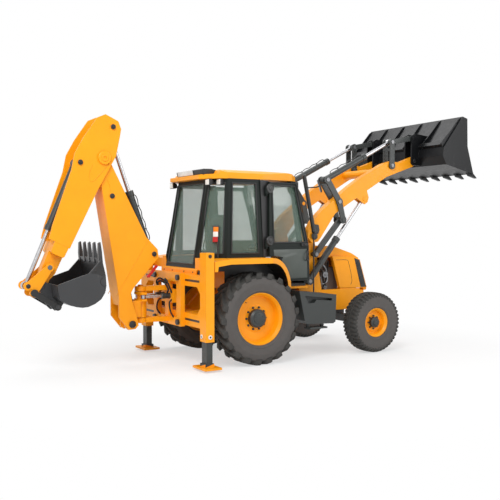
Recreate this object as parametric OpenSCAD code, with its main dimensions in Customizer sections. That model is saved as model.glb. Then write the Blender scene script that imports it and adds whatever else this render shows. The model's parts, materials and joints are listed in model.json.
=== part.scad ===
// Backhoe loader: a wheeled machine with a loader in front and a slewing backhoe behind.
// Millimetres. X runs forward, Y to the machine's left, Z up, wheels standing on Z = 0.
// Shapes are laid out from the rear axle (X = 0) and moved so the whole is centred in X.
// Pins are written as [x, z]; a link's own outline as [along, across] from its first pin.

/* [Wheels] */
// Distance between the axles
wheelbase = 2170; // [2050:10:2300]
// Rear tyre diameter over the lugs
rear_tyre_d = 1340; // [1320:10:1450]
// Rear tyre width
rear_tyre_w = 430; // [380:5:440]
// Distance between the rear tyre centres
rear_track = 1800; // [1780:5:1840]
// Rear rim diameter at the flange
rear_rim_d = 800; // [700:10:820]
// Front tyre diameter
front_tyre_d = 955; // [900:5:980]
// Front tyre width
front_tyre_w = 310; // [280:5:320]
// Distance between the front tyre centres
front_track = 1900; // [1880:5:1940]
// Front rim diameter at the flange
front_rim_d = 490; // [450:5:520]
// Kingpin to the tyre's centre plane
kingpin_in = 155; // [150:1:165]

/* [Frame] */
// Width over the two main rails
frame_w = 740; // [700:5:760]
// Thickness of a main rail
rail_t = 70; // [50:5:90]
// Underside of the main rails
frame_bottom = 630; // [600:5:650]
// Top of the main rails
frame_top = 970; // [940:5:990]
// Outer face of the loader tower from the middle
tower_y = 415; // [410:1:425]
// Rear axle tube radius
axle_r = 105; // [80:5:120]

/* [Cab] */
// Top of the cab floor
floor_z = 1120; // [1110:5:1130]
// Lower edge of the side windows' wall
waist_z = 1545; // [1540:1:1560]
// Lower edge of the rear window's wall
rear_sill_z = 1390; // [1380:5:1450]
// Underside of the roof
roof_z = 2690; // [2600:10:2750]
// Height of the roof
roof_h = 165; // [120:5:200]
// Wall thickness of the cab
cab_t = 45; // [35:1:50]
// Thickness of a window pane
glass_t = 6; // [4:1:8]
// Half width at the door hinges
cab_mid_y = 820; // [800:5:830]
// Half width at the front pillars
cab_front_y = 660; // [640:5:670]
// Half width of the rear window's wall
cab_rear_y = 500; // [480:5:520]

/* [Loader] */
// Arm length, pivot to bucket pin
arm_l = 2468; // [2380:4:2520]
// Slope of the raised arm
arm_a = 31.2; // [28:0.1:33]
// Arm centre plane from the middle
arm_y = 500; // [495:1:510]
// Arm width
arm_w = 120; // [110:2:124]
// Bucket width
load_w = 2350; // [2200:10:2400]
// Lift ram tube radius
lift_r = 52; // [44:1:56]

/* [Backhoe] */
// Slew axis behind the rear axle
slew_back = 1400; // [1390:5:1430]
// Boom foot pin behind the slew axis
foot_back = 201; // [195:1:215]
// Boom length between pins
boom_l = 2384; // [2300:10:2450]
// Slope of the folded boom
boom_a = 100; // [98:0.5:102]
// Half width of the boom
boom_y = 170; // [165:1:172]
// Thickness of the boom and dipper plates
plate_t = 28; // [20:1:30]
// Dipper length between pins
dip_l = 1961; // [1900:10:2000]
// Slope of the folded dipper
dip_a = -115.8; // [-118:0.2:-114]
// Digging bucket width
dig_w = 900; // [600:10:910]
// Travel of the carriage to either side
shift_travel = 440; // [300:10:450]

/* [Stabilisers] */
// Leg centre behind the rear axle
stab_back = 845; // [840:1:850]
// Leg centre from the middle
stab_y = 1030; // [1020:5:1040]
// Top of the leg housing
stab_top = 1636; // [1560:4:1660]
// Underside of the leg housing
stab_low = 404; // [390:2:430]
// Height of the foot above the ground
foot_gap = 30; // [20:2:40]

/* [Fits] */
// Pin radius, large joints
pin_r = 32; // [26:1:36]
// Radial play of a pin in its bore
pin_play = 0.08; // [0.03:0.01:0.1]
// Play of a rod in its tube
rod_play = 0.4; // [0.3:0.1:0.6]
// Side gap between moving plates
side_gap = 8; // [6:0.5:9]
// Gap between the carriage and the rails it slides on
slide_gap = 0.5; // [0.3:0.1:0.8]

/* [Hidden] */
$fn = 48;

// Turning, placing and distances in the X-Z plane
function turn(p, a) = [p[0] * cos(a) - p[1] * sin(a), p[0] * sin(a) + p[1] * cos(a)];
function from(o, a, p) = o + turn(p, a);
function slope(p, q) = atan2(q[1] - p[1], q[0] - p[0]);
function span(p, q) = norm(q - p);
function blend(a, b, t) = a + (b - a) * t;

// Colours by material
yellow = [0.93, 0.60, 0.08];
grey = [0.20, 0.21, 0.23];
black = [0.08, 0.08, 0.09];
steel = [0.75, 0.76, 0.78];
pane = [0.55, 0.68, 0.70, 0.35];

// Wheels
rear_r = rear_tyre_d / 2;
front_r = front_tyre_d / 2;
rear_y = rear_track / 2;
front_y = front_track / 2;
rear_rim_r = rear_rim_d / 2;
front_rim_r = front_rim_d / 2;
kingpin_y = front_y - kingpin_in;
spindle_r = 38;
rear_spindle_r = 60;
lugs = 21;
lug_h = 42;

// Frame
rail_y = frame_w / 2;
rail_in = rail_y - rail_t;
rear_x = -stab_back + 65;
tower_in = tower_y - 70;
tow_r = 18;
bonnet_pin = [2520, 962];
bonnet_r = 14;

// Loader pins: arm pivot, bell crank, level link, lever, bucket, lift ram, tilt ram
arm0 = [1310, 1850];
bell = from(arm0, arm_a, [709, 214]);
lever = from(arm0, arm_a, [arm_l - 478, 175]);
tip = from(arm0, arm_a, [arm_l, 0]);
level_v = [75, -290];
level0 = arm0 + level_v;
level1 = bell + level_v;
lever_v = [0, 395];
lever1 = lever + lever_v;
tip1 = tip + lever_v;
tilt0 = bell + [-240, 345];
lift0 = [1261, 1137];
lift1 = from(arm0, arm_a, [1196, -20]);
fork_in = arm_w / 2 + side_gap;
fork_t = 25;
eye_w = 50;

// Backhoe pins
slew_x = -slew_back;
foot = [slew_x - foot_back, 603];
boom_tip = from(foot, boom_a, [boom_l, 0]);
dig_pin = from(boom_tip, dip_a, [dip_l, 0]);
crowd0 = from(foot, boom_a, [924, -510]);
crowd1 = from(boom_tip, dip_a, [-450, -76]);
hoist0 = foot + [30, 250];
hoist1 = from(foot, boom_a, [1847, -30]);
curl0 = from(boom_tip, dip_a, [218, -278]);
curl_lever = from(boom_tip, dip_a, [dip_l - 277, -23]);
curl1 = curl_lever + [-294, -241];
curl_link0 = curl_lever + [-215, -336];
dig_a = 40.4;
curl_link1 = from(dig_pin, dig_a, [-30, -339]);
dip_in = boom_y + side_gap;
dip_out = dip_in + plate_t;
nose_y = 80;
curl_r = 58;
ear0 = nose_y + side_gap;
ear1 = ear0 + 25;
curl_y0 = ear1 + side_gap;
curl_y1 = curl_y0 + 25;
link0 = curl_y1 + side_gap;
link1 = link0 + 22;
slew_arm = 105;
slew_eye_r = 35;
slew_eye_h = 50;
slew_z = 980;
carriage_y = 470;

// Rear frame and carriage
tube_x = 130;
tube_y = 180;
tube_t = 10;
tube_face = -stab_back - tube_x / 2;
leg_x = 92;
leg_y = 142;
rail_low0 = 580;
rail_low1 = 765;
rail_top0 = 1150;
rail_top1 = 1310;

// Cab corners, bottom then top: rear, quarter, hinge and front pillars
cab_r0 = [-760, cab_rear_y];
cab_r1 = [-545, cab_rear_y - 25];
cab_c0 = [-410, cab_mid_y];
cab_c1 = [-385, cab_mid_y];
cab_h0 = [225, cab_mid_y];
cab_h1 = [150, cab_mid_y];
cab_a0 = [1125, cab_front_y];
cab_a1 = [845, cab_front_y + (cab_a0[0] - 845) * (cab_mid_y - cab_front_y) / (cab_a0[0] - cab_h0[0])];

// Half the machine's length is the same before and behind the datum below
bucket_front = tip[0] + 905;
curl_back = curl1[0] - curl_r;
datum_x = (bucket_front + curl_back) / 2;

module machine() translate([-datum_x, 0, 0]) children();

module pair() {
  children();
  mirror([0, 1, 0]) children();
}

module at(p, a = 0) translate([p[0], 0, p[1]]) rotate([0, -a, 0]) children();

// A plate with its outline in X-Z, lying between two Y planes
module slab(pts, y0, y1) translate([0, y1, 0]) rotate([90, 0, 0])
  linear_extrude(height = y1 - y0) polygon(pts);

// A round bar along Y through [x, z]
module bar(p, r, y0, y1) translate([p[0], y0, p[1]]) rotate([-90, 0, 0]) cylinder(r = r, h = y1 - y0);

module box(p0, p1) translate(p0) cube(p1 - p0);

// A flat link between two pins, round at both ends or, as a second limb, at the far end alone
module link(p, q, r, y0, y1, second = false) at(p, slope(p, q)) {
  if (!second) bar([0, 0], r, y0, y1);
  bar([span(p, q), 0], r, y0, y1);
  slab([[0, -r * 0.8], [span(p, q), -r * 0.8], [span(p, q), r * 0.8], [0, r * 0.8]], y0, y1);
}

// A ram's tube from its base pin along X, bored for the rod
module tube(l, r, rod_r, eye_r, w, base_r = pin_r) difference() {
  union() {
    bar([0, 0], eye_r, -w / 2, w / 2);
    translate([eye_r * 0.6, 0, 0]) rotate([0, 90, 0]) cylinder(r = r, h = l - eye_r * 0.6 - 60);
    translate([l - 70, 0, 0]) rotate([0, 90, 0]) cylinder(r = r + 8, h = 70);
  }
  bar([0, 0], base_r + pin_play, -w, w);
  translate([eye_r + 25, 0, 0]) rotate([0, 90, 0]) cylinder(r = rod_r + rod_play, h = l);
}

// A ram's rod reaching from x0 inside the tube to its eye at x1
module rod(x0, x1, r, eye_r, w, hole_r = 0) difference() {
  union() {
    translate([x0, 0, 0]) rotate([0, 90, 0]) cylinder(r = r, h = x1 - eye_r * 0.5 - x0);
    bar([x1, 0], eye_r, -w / 2, w / 2);
  }
  if (hole_r > 0) bar([x1, 0], hole_r + pin_play, -w, w);
}

// A wall between four corners, bottom pair then top pair, thickened by v
module wall(q, v) polyhedron(
  points = [q[0], q[1], q[2], q[3], q[0] + v, q[1] + v, q[2] + v, q[3] + v],
  faces = v * cross(q[1] - q[0], q[2] - q[0]) > 0 ?
    [[0, 1, 2], [0, 2, 3], [4, 6, 5], [4, 7, 6], [0, 4, 5], [0, 5, 1], [1, 5, 6], [1, 6, 2],
     [2, 6, 7], [2, 7, 3], [3, 7, 4], [3, 4, 0]] :
    [[0, 2, 1], [0, 3, 2], [4, 5, 6], [4, 6, 7], [0, 5, 4], [0, 1, 5], [1, 6, 5], [1, 2, 6],
     [2, 7, 6], [2, 3, 7], [3, 4, 7], [3, 0, 4]]);

// The same four corners drawn in by fractions of the width and height
function inset(q, s0, s1, t0, t1) = [
  blend(blend(q[0], q[1], s0), blend(q[3], q[2], s0), t0),
  blend(blend(q[0], q[1], s1), blend(q[3], q[2], s1), t0),
  blend(blend(q[0], q[1], s1), blend(q[3], q[2], s1), t1),
  blend(blend(q[0], q[1], s0), blend(q[3], q[2], s0), t1)];
function quad(a, b, c, d, z0, z1) = [[a[0], a[1], z0], [b[0], b[1], z0], [d[0], d[1], z1], [c[0], c[1], z1]];
function flip(p) = [p[0], -p[1]];
function flip2(p) = [-p[0], p[1]];

// Main rails, loader towers, nose block and the outriggers that carry the tanks
module main_frame() color(yellow) machine() {
  pair() difference() {
    union() {
      slab([[rear_x, frame_bottom], [rear_x, 760], [-450, 780], [-280, frame_top], [2300, frame_top],
        [2480, 930], [2480, 690], [2300, frame_bottom]], rail_in, rail_y);
      slab([[1130, frame_bottom], [1130, 1500], [1185, 1950], [1250, 1990], [1390, 1960], [1430, 1800],
        [1490, 1450], [1580, frame_top], [1580, frame_bottom]], tower_in, tower_y);
      bar(arm0, pin_r + 8, tower_in, arm_y + arm_w / 2 + 20);
      bar(level0, pin_r, tower_in, arm_y + 50);
      bar(lift0, pin_r, tower_in, arm_y + 50);
      slab([[2470, 880], [2550, 880], [2550, 990], [2490, 990], [2470, 930]], rail_in - 25, rail_in);
      bar(bonnet_pin, bonnet_r, rail_in - 25, rail_y - 8);
      box([880, rail_y, 700], [1100, 620, 790]);
      box([60, rail_in, frame_top], [160, rail_y, floor_z - 40]);
      box([900, rail_in, frame_top], [1000, rail_y, floor_z - 40]);
    }
    bar([0, rear_r], axle_r, 0, rail_y + 10);
  }
  box([2330, -rail_in, 690], [2480, rail_in, 920]);
  difference() {
    box([2480, -60, 700], [2570, 60, 780]);
    translate([2525, 0, 690]) cylinder(r = tow_r, h = 100);
  }
  box([wheelbase - 90, -rail_in, frame_bottom], [wheelbase + 90, rail_in, 690]);
  box([1500, -rail_in, frame_bottom], [1600, rail_in, 700]);
  box([-600, -rail_in, frame_bottom], [-500, rail_in, 740]);
}

// Cross rails and the two upright leg housings
module rear_frame() color(yellow) machine() {
  pair() difference() {
    translate([-stab_back, stab_y, 0]) box([-tube_x / 2, -tube_y / 2, stab_low], [tube_x / 2, tube_y / 2, stab_top]);
    translate([-stab_back, stab_y, 0]) box([-tube_x / 2 + tube_t, -tube_y / 2 + tube_t, stab_low - 1],
      [tube_x / 2 - tube_t, tube_y / 2 - tube_t, stab_top - tube_t]);
  }
  y = stab_y - tube_y / 2;
  box([tube_face, -y, rail_low0], [rear_x, y, rail_low1]);
  box([tube_face, -y, rail_top0], [rear_x, y, rail_top1]);
  pair() translate([0, y, 0]) rotate([90, 0, -90]) translate([0, 0, -rear_x]) {
    linear_extrude(height = tube_x) polygon([[0, rail_low1], [0, rail_low1 + 90], [90, rail_low1]]);
    linear_extrude(height = tube_x) polygon([[0, rail_top0], [0, rail_top0 - 90], [90, rail_top0]]);
  }
}

module rear_axle() color(yellow) machine() {
  translate([0, 0, rear_r]) {
    rotate([90, 0, 0]) cylinder(r = axle_r, h = 1160, center = true);
    sphere(r = 190);
    rotate([90, 0, 0]) cylinder(r = rear_spindle_r, h = 2 * rear_y + 110, center = true);
  }
}

// Beam axle hung under the rails, with a bored boss at either end
module front_axle() color(black) machine() translate([wheelbase, 0, front_r]) difference() {
  union() {
    box([-60, -690, -55], [60, 690, 65]);
    box([-80, -150, 65], [80, 150, frame_bottom - front_r]);
    pair() {
      box([-35, 680, -50], [35, kingpin_y, 50]);
      translate([0, kingpin_y, -50]) cylinder(r = 55, h = 100);
    }
  }
  pair() translate([0, kingpin_y, -60]) cylinder(r = 26 + pin_play, h = 120);
}

module knuckle() color(black) translate([wheelbase, kingpin_y, front_r]) {
  translate([0, 0, -90]) cylinder(r = 26, h = 180);
  for (z = [-90, 50 + side_gap]) {
    translate([0, 0, z]) cylinder(r = 50, h = 40 - side_gap);
    box([-45, 0, z], [45, 90, z + 40 - side_gap]);
  }
  box([-45, 68, -90], [45, 92, 90]);
  translate([0, 90, 0]) rotate([-90, 0, 0]) cylinder(r = 70, h = 20);
  translate([0, 90, 0]) rotate([-90, 0, 0]) cylinder(r = spindle_r, h = kingpin_in + 5);
}

module knuckle_l() machine() knuckle();
module knuckle_r() machine() mirror([0, 1, 0]) knuckle();

// A tyre turned about Y: tread radius, bead radius and width
module tyre(r, bead, w) rotate([-90, 0, 0]) rotate_extrude($fn = 32) polygon([
  [bead, -w * 0.40], [bead + 30, -w * 0.46], [r * 0.80, -w * 0.5], [r * 0.93, -w * 0.485], [r, -w * 0.42],
  [r, w * 0.42], [r * 0.93, w * 0.485], [r * 0.80, w * 0.5], [bead + 30, w * 0.46], [bead, w * 0.40]]);

// Lug on the rear tread, reaching from the shoulder past the middle; s picks the side
module lug(s) translate([0, 0, rear_r - lug_h - 35]) linear_extrude(height = lug_h + 60)
  polygon([[-125, s * 205], [-55, s * 205], [120, s * -10], [70, s * -10]]);
module rear_tyre() color(black) translate([0, rear_y, rear_r]) {
  tyre(rear_r - lug_h, rear_rim_r - 20, rear_tyre_w);
  intersection() {
    union() for (i = [0 : lugs - 1]) {
      rotate([0, i * 360 / lugs, 0]) lug(1);
      rotate([0, (i + 0.5) * 360 / lugs, 0]) lug(-1);
    }
    rotate([90, 0, 0]) cylinder(r = rear_r, h = rear_tyre_w, center = true, $fn = 32);
  }
}
module front_tyre() color(black) translate([wheelbase, front_y, front_r])
  tyre(front_r, front_rim_r - 15, front_tyre_w);
module rear_tyre_l() machine() rear_tyre();
module rear_tyre_r() machine() mirror([0, 1, 0]) rear_tyre();
module front_tyre_l() machine() front_tyre();
module front_tyre_r() machine() mirror([0, 1, 0]) front_tyre();

// A dished rim turned about Y, bored for its spindle; the disc stands at d from the middle
module rim(bead, w, d, hub_r, hub_l, bore) rotate([-90, 0, 0]) rotate_extrude($fn = 96) polygon([
  [bead, -w * 0.40], [bead, w * 0.40], [bead - 12, w * 0.40], [bead - 40, w * 0.30], [bead - 52, d + 14],
  [hub_r + 70, d + 14], [hub_r + 50, d + 24], [hub_r, d + 24], [hub_r, hub_l], [hub_r - 25, hub_l + 20],
  [bore, hub_l + 20], [bore, d - 40], [hub_r + 10, d - 40], [hub_r + 40, d], [bead - 66, d - 4],
  [bead - 50, -w * 0.30], [bead - 12, -w * 0.40]]);

module rear_rim() color(yellow) translate([0, rear_y, rear_r])
  rim(rear_rim_r - 20, rear_tyre_w, 20, 135, 110, rear_spindle_r + pin_play);
module front_rim() color(yellow) translate([wheelbase, front_y, front_r])
  rim(front_rim_r - 15, front_tyre_w, 20, 85, 95, spindle_r + pin_play);
module rear_rim_l() machine() rear_rim();
module rear_rim_r() machine() mirror([0, 1, 0]) rear_rim();
module front_rim_l() machine() front_rim();
module front_rim_r() machine() mirror([0, 1, 0]) front_rim();

// Engine at its real place between the rails: block, head, filters, pulleys and fan
module engine() color(grey) machine() {
  pair() {
    bar([1700, 1215], 72, 220, 322);
    bar([1700, 1215], 45, 300, 334);
    bar([1730, 1010], 55, 220, 292);
    translate([1640, 246, 880]) cylinder(r = 46, h = 210);
    box([1560, 220, 1120], [1625, 300, 1400]);
  }
  bar([1760, 1440], 62, -250, 250);
  translate([2050, 0, 1130]) rotate([0, 90, 0]) cylinder(r = 190, h = 40);
  box([1300, -230, 760], [1960, 230, 1330]);
  box([1380, -180, 1330], [1900, 180, 1430]);
  pair() box([1640, 220, 800], [1760, rail_in, 860]);
  box([1960, -200, 900], [2060, 200, 1300]);
}

// Bonnet: a top that runs back to the cab and side panels round the radiator
grille_n = 6;
module bonnet_shell() color(yellow) machine() difference() {
  union() {
    slab([[1790, 1500], [1880, 1500], [2030, 990], [2420, 975], [2540, 975], [2400, 1480], [2250, 1560],
      [1860, 1680], [1240, 1700], [1240, 1500]], -tower_in + 12, tower_in - 12);
    slab([[1827, 1517], [1990, 990], [2420, 975], [2560, 975], [2408, 1450], [2260, 1500]], -rail_y, rail_y);
    pair() bar(bonnet_pin, 30, tower_in - 40, rail_y);
  }
  slab([[1200, 1400], [1200, 1662], [1850, 1642], [2230, 1525], [2350, 1440], [2470, 1020], [2600, 1020], [2600, 900],
    [1700, 900]], -tower_in + 40, tower_in - 40);
  bar(bonnet_pin, bonnet_r + pin_play, -rail_y, rail_y);
}
module bonnet() {
  bonnet_shell();
  color(black) machine() for (t = [0 : 1 / grille_n : 1]) translate([2452 - 132 * t, -310, 1045 + 350 * t])
    cube([30, 620, 14]);
}

// Corner quads of the cab's walls on the left side
rear_q = quad(flip(cab_r0), cab_r0, flip(cab_r1), cab_r1, rear_sill_z, roof_z);
quarter_q = quad(cab_r0, cab_c0, cab_r1, cab_c1, waist_z, roof_z);
side_q = quad(cab_c0, cab_h0, cab_c1, cab_h1, waist_z, roof_z);
front_q = quad(flip(cab_a0), cab_a0, flip(cab_a1), cab_a1, floor_z, roof_z);
in_rear = [cab_t, 0, 0];
in_front = [-cab_t, 0, 0];
in_side = [0, -cab_t, 0];
in_quarter = [cab_t * 0.7, -cab_t * 0.7, 0];

// A window opening through a wall
module opening(q, v, s0, s1, t0, t1) wall([for (p = inset(q, s0, s1, t0, t1)) p - v], v * 3);

module cab_frame() color(grey) machine() {
  difference() {
    wall(rear_q, in_rear);
    opening(rear_q, in_rear, 0.07, 0.93, 0.05, 0.95);
  }
  difference() {
    wall(front_q, in_front);
    opening(front_q, in_front, 0.06, 0.94, 0.22, 0.95);
  }
  pair() {
    difference() {
      wall(quarter_q, in_quarter);
      opening(quarter_q, in_quarter, 0.14, 0.86, 0.06, 0.94);
    }
    difference() {
      wall(side_q, in_side);
      opening(side_q, in_side, 0.12, 0.84, 0.06, 0.94);
    }
    wall([[cab_h0[0] - 60, cab_h0[1], waist_z], [cab_h0[0], cab_h0[1], waist_z],
      [cab_h1[0], cab_h1[1], roof_z], [cab_h1[0] - 60, cab_h1[1], roof_z]], [0, -70, 0]);
    in_door() for (z = hinge_z) {
      translate([0, 20, z - 30]) cylinder(r = hinge_r, h = 30 + hinge_h);
      translate([0, 20, z - 30]) cylinder(r = 16, h = 30 - side_gap);
      box([-16, -40, z - 30], [16, 20, z - side_gap]);
    }
    wall([[cab_a0[0] - 70, cab_a0[1], floor_z], [cab_a0[0], cab_a0[1], floor_z],
      [cab_a1[0], cab_a1[1], roof_z], [cab_a1[0] - 70, cab_a1[1], roof_z]], [0, -60, 0]);
  }
}

// Fixed panes, set in the walls' openings
module cab_glass() color(pane) machine() {
  wall([for (p = inset(rear_q, 0.07, 0.93, 0.05, 0.95)) p + [15, 0, 0]], [glass_t, 0, 0]);
  wall([for (p = inset(front_q, 0.06, 0.94, 0.22, 0.95)) p - [15, 0, 0]], [-glass_t, 0, 0]);
  pair() {
    wall([for (p = inset(quarter_q, 0.14, 0.86, 0.06, 0.94)) p + in_quarter * 0.3], in_quarter * 0.2);
    wall([for (p = inset(side_q, 0.12, 0.84, 0.06, 0.94)) p - [0, 15, 0]], [0, -glass_t, 0]);
  }
}

// Roof: its plan, side and rear outlines crossed; the rear edge steps down to carry a plate
roof_plan = [[-690, -480], [-480, -740], [-390, -806], [200, -830], [780, -730], [890, -650], [930, -560],
  [945, 0], [930, 560], [890, 650], [780, 730], [200, 830], [-390, 806], [-480, 740], [-690, 480]];
roof_side = [[-700, 0], [-700, 50], [-670, 64], [-490, 70], [-462, 120], [-390, 142], [-150, 158], [60, roof_h],
  [330, 156], [620, 132], [790, 102], [890, 66], [950, 20], [950, 0]];
roof_half = [[840, 0], [840, 52], [810, 86], [720, 120], [480, 150], [0, roof_h]];
module cab_roof() color(yellow) machine() translate([0, 0, roof_z]) intersection() {
  linear_extrude(height = roof_h + 1) polygon(roof_plan);
  slab(roof_side, -900, 900);
  rotate([90, 0, 90]) translate([0, 0, -800]) linear_extrude(height = 1900)
    polygon(concat(roof_half, [for (i = [4 : -1 : 0]) flip2(roof_half[i])]));
}

// Floor, wheel arches, sills and the panel under the rear window
fender_top = [[-764, 1510], [-500, waist_z], [190, waist_z]];
fender_r = 491;
function bow(r, a0, a1) = [for (i = [0 : 8]) [190, waist_z - fender_r] + turn([r, 0], a0 + (a1 - a0) * i / 8)];
module cab_lower() color(yellow) machine() {
  box([-330, -600, floor_z - 40], [1125, 600, floor_z]);
  box([-760, -600, 1150], [-725, 600, rear_sill_z]);
  box([-760, -600, 1340], [-300, 600, 1370]);
  box([-330, -600, floor_z - 40], [-300, 600, 1370]);
  pair() {
    difference() {
      union() {
        slab(concat([[-764, 1370]], fender_top, bow(fender_r, 80, 4), bow(fender_r - 78, 5, 90),
          [[-500, 1468], [-705, 1440], [-715, 1370]]), 600, 1110);
        slab(concat([[-764, 1340]], fender_top, bow(fender_r, 80, 4), [[-330, floor_z - 40], [-330, 1340]]),
          570, 600);
      }
      translate([0, 0, 900]) linear_extrude(height = 800) polygon([[190, 1200], [190, 1110], [700, 850], [900, 850], [900, 1200]]);
    }
    box([600, 570, floor_z - 70], [1100, 700, floor_z - 40]);
    translate([0, 0, rear_sill_z]) linear_extrude(height = waist_z - rear_sill_z)
      polygon([[-760, 500], [-700, 500], [-690, 599], [-690, 620], [-760, 620]]);
  }
}

// Driver's seat, steering column and wheel, and the lever console
module cab_interior() color(black) machine() {
  box([-20, -230, floor_z], [420, 230, 1420]);
  box([-30, -250, 1420], [450, 250, 1540]);
  slab([[-40, 1500], [60, 1540], [-40, 2200], [-130, 2190]], -240, 240);
  at([900, floor_z], 115) translate([22, 0, 0]) rotate([0, 90, 0]) cylinder(r = 45, h = 638);
  at([900, floor_z], 115) translate([640, 0, 0]) rotate([0, 90, 0]) rotate_extrude() translate([190, 0]) circle(r = 16);
  at([900, floor_z], 115) translate([632, 0, 0]) rotate([0, 90, 0]) cylinder(r = 190, h = 16);
  box([-330, -260, 1370], [-200, 260, 1640]);
}

// Tank and tool box between the axles, with a hand recess under its lip and a step hung below
module side_tanks() color(grey) machine() pair() {
  difference() {
    slab([[690, 1040], [1380, 960], [1365, 546], [1320, 520], [830, 540], [790, 590]], 620, 1060);
    slab([[790, 965], [1300, 905], [1290, 870], [1010, 895], [960, 850], [850, 850]], 985, 1070);
  }
  for (x = [900, 1160]) box([x, 930, 470], [x + 40, 960, 560]);
  box([890, 900, 455], [1210, 1060, 480]);
}

// Work lamps under the roof's corners and the rear lamp clusters
module lamps() color(steel) machine() {
  pair() {
    box([-640, 545, 2600], [-560, 665, roof_z]);
    box([880, 545, 2600], [960, 665, roof_z]);
    difference() {
      box([-535, 744, 1500], [-510, 769, 1780]);
      slab(concat(fender_top, [[190, 1300], [-764, 1300]]), 600, 1110);
    }
    translate([-512, 748, 1752]) rotate([0, 0, atan2(cab_c0[1] - cab_r0[1], cab_c0[0] - cab_r0[0])])
      box([-110, -10, 0], [-8, 40, 250]);
  }
}

// Exhaust stack before the right front pillar, bent where the thick pipe starts
stack0 = [1240, 977.8];
stack1 = [1240, 1930];
stack2 = [1050, 2800];
stack_r = 32;
module exhaust() color(black) machine() translate([0, -cab_front_y, 0]) {
  translate([stack0[0], 0, stack0[1]]) cylinder(r = 11, h = stack1[1] - stack0[1]);
  translate([stack1[0], 0, stack1[1]]) sphere(r = stack_r + 4);
  at(stack1, slope(stack1, stack2)) rotate([0, 90, 0]) cylinder(r = stack_r, h = span(stack1, stack2));
}

// Mirrors: the right one on the stack, the left one on an arm from its front pillar
mirror_y = 1000;
mirror_z = 2600;
mirror_x = stack1[0] + (stack2[0] - stack1[0]) * (mirror_z - stack1[1]) / (stack2[1] - stack1[1]);
module mirror_head() {
  box([mirror_x - 13, mirror_y - 75, mirror_z - 90], [mirror_x + 13, mirror_y + 75, mirror_z + 110]);
  translate([mirror_x, mirror_y - 75, mirror_z]) rotate([90, 0, 0])
    cylinder(r = 12, h = mirror_y - 75 - cab_front_y - stack_r);
}
module mirrors() color(black) machine() {
  mirror([0, 1, 0]) mirror_head();
  mirror_head();
  y = cab_front_y + stack_r + 12;
  x = cab_a0[0] + (cab_a1[0] - cab_a0[0]) * (mirror_z - 12 - floor_z) / (roof_z - floor_z);
  translate([x, y, mirror_z]) rotate([0, 90, 0]) cylinder(r = 12, h = mirror_x - x + 10);
}

// Door outline and its window, measured along the door from the hinge
door_a = atan2(cab_mid_y - cab_front_y, cab_a0[0] - cab_h0[0]);
door_y = cab_mid_y + 12;
door_x = cab_h0[0] + 12;
hinge_z = [1700, 2480];
hinge_r = 12;
hinge_h = 90;
door_pts = [[40, 2660], [600, 2660], [870, 1700], [890, 1165], [640, 1165], [590, 1240], [420, 1440],
  [265, 1560], [40, 1575]];
door_win = [[90, 2610], [560, 2610], [800, 1760], [130, 1760]];

module in_door() translate([door_x, door_y, 0]) rotate([0, 0, -door_a]) children();

module door() color(grey) in_door() {
  difference() {
    union() {
      slab(door_pts, 0, 40);
      for (z = hinge_z) {
        translate([0, 20, z]) cylinder(r = 28, h = hinge_h);
        box([0, 5, z], [60, 35, z + hinge_h]);
      }
    }
    slab(door_win, -1, 41);
    for (z = hinge_z) translate([0, 20, z - 1]) cylinder(r = hinge_r + pin_play, h = hinge_h + 2);
  }
}

module door_glass() color(pane) in_door() slab(door_win, 15, 15 + glass_t);
module door_l() machine() door();
module door_r() machine() mirror([0, 1, 0]) door();
module door_glass_l() machine() door_glass();
module door_glass_r() machine() mirror([0, 1, 0]) door_glass();

// Sliding leg with its wear pads and ground pad
wear_x = tube_x / 2 - tube_t - slide_gap;
wear_y = tube_y / 2 - tube_t - slide_gap;
module stab_leg() color(grey) translate([-stab_back, stab_y, 0]) {
  box([-leg_x / 2, -leg_y / 2, foot_gap + 45], [leg_x / 2, leg_y / 2, stab_top - 320]);
  for (z = [stab_low + 150, stab_top - 420]) box([-wear_x, -wear_y, z], [wear_x, wear_y, z + 90]);
  box([-130, -190, foot_gap], [130, 190, foot_gap + 30]);
  box([-70, -80, foot_gap + 20], [70, 80, foot_gap + 75]);
}
module stab_leg_l() machine() stab_leg();
module stab_leg_r() machine() mirror([0, 1, 0]) stab_leg();

// Two cranked arms joined by a cross tube
module loader_arms() color(yellow) machine() {
  pair() difference() {
    union() {
      at(arm0, arm_a) slab([[-110, 40], [-40, 130], [106, 205], [291, 255], [610, 288], [765, 298],
        [1000, 314], [1283, 320], [1847, 284], [arm_l - 420, 235], [arm_l - 300, 130], [arm_l - 30, 75],
        [arm_l + 50, 60], [arm_l + 78, 0], [arm_l + 50, -60], [arm_l - 60, -75],
        [1803, 61], [1352, 75], [729, 88], [552, 86], [123, -90], [30, -120], [-80, -80]],
        arm_y - arm_w / 2, arm_y + arm_w / 2);
      for (y = [arm_y - arm_w / 2, arm_y + arm_w / 2 - fork_t]) at(arm0, arm_a)
        slab([[1320, 90], [1290, -40], [1230, -95], [1160, -95], [1060, 90]], y, y + fork_t);
      bar(bell, pin_r, arm_y - fork_in - fork_t, arm_y + fork_in + fork_t + 12);
    }
    bar(arm0, pin_r + 8 + pin_play, 0, 2 * arm_y);
    bar(lever, pin_r + pin_play, 0, 2 * arm_y);
    bar(tip, pin_r + pin_play, 0, 2 * arm_y);
  }
  at(arm0, arm_a) bar([arm_l - 700, 170], 70, -arm_y, arm_y);
  pair() bar(lift1, pin_r, arm_y - arm_w / 2 - 12, arm_y - eye_w / 2 - 5);
  pair() bar(lift1, pin_r, arm_y + eye_w / 2 + 5, arm_y + arm_w / 2 + 12);
}

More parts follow.
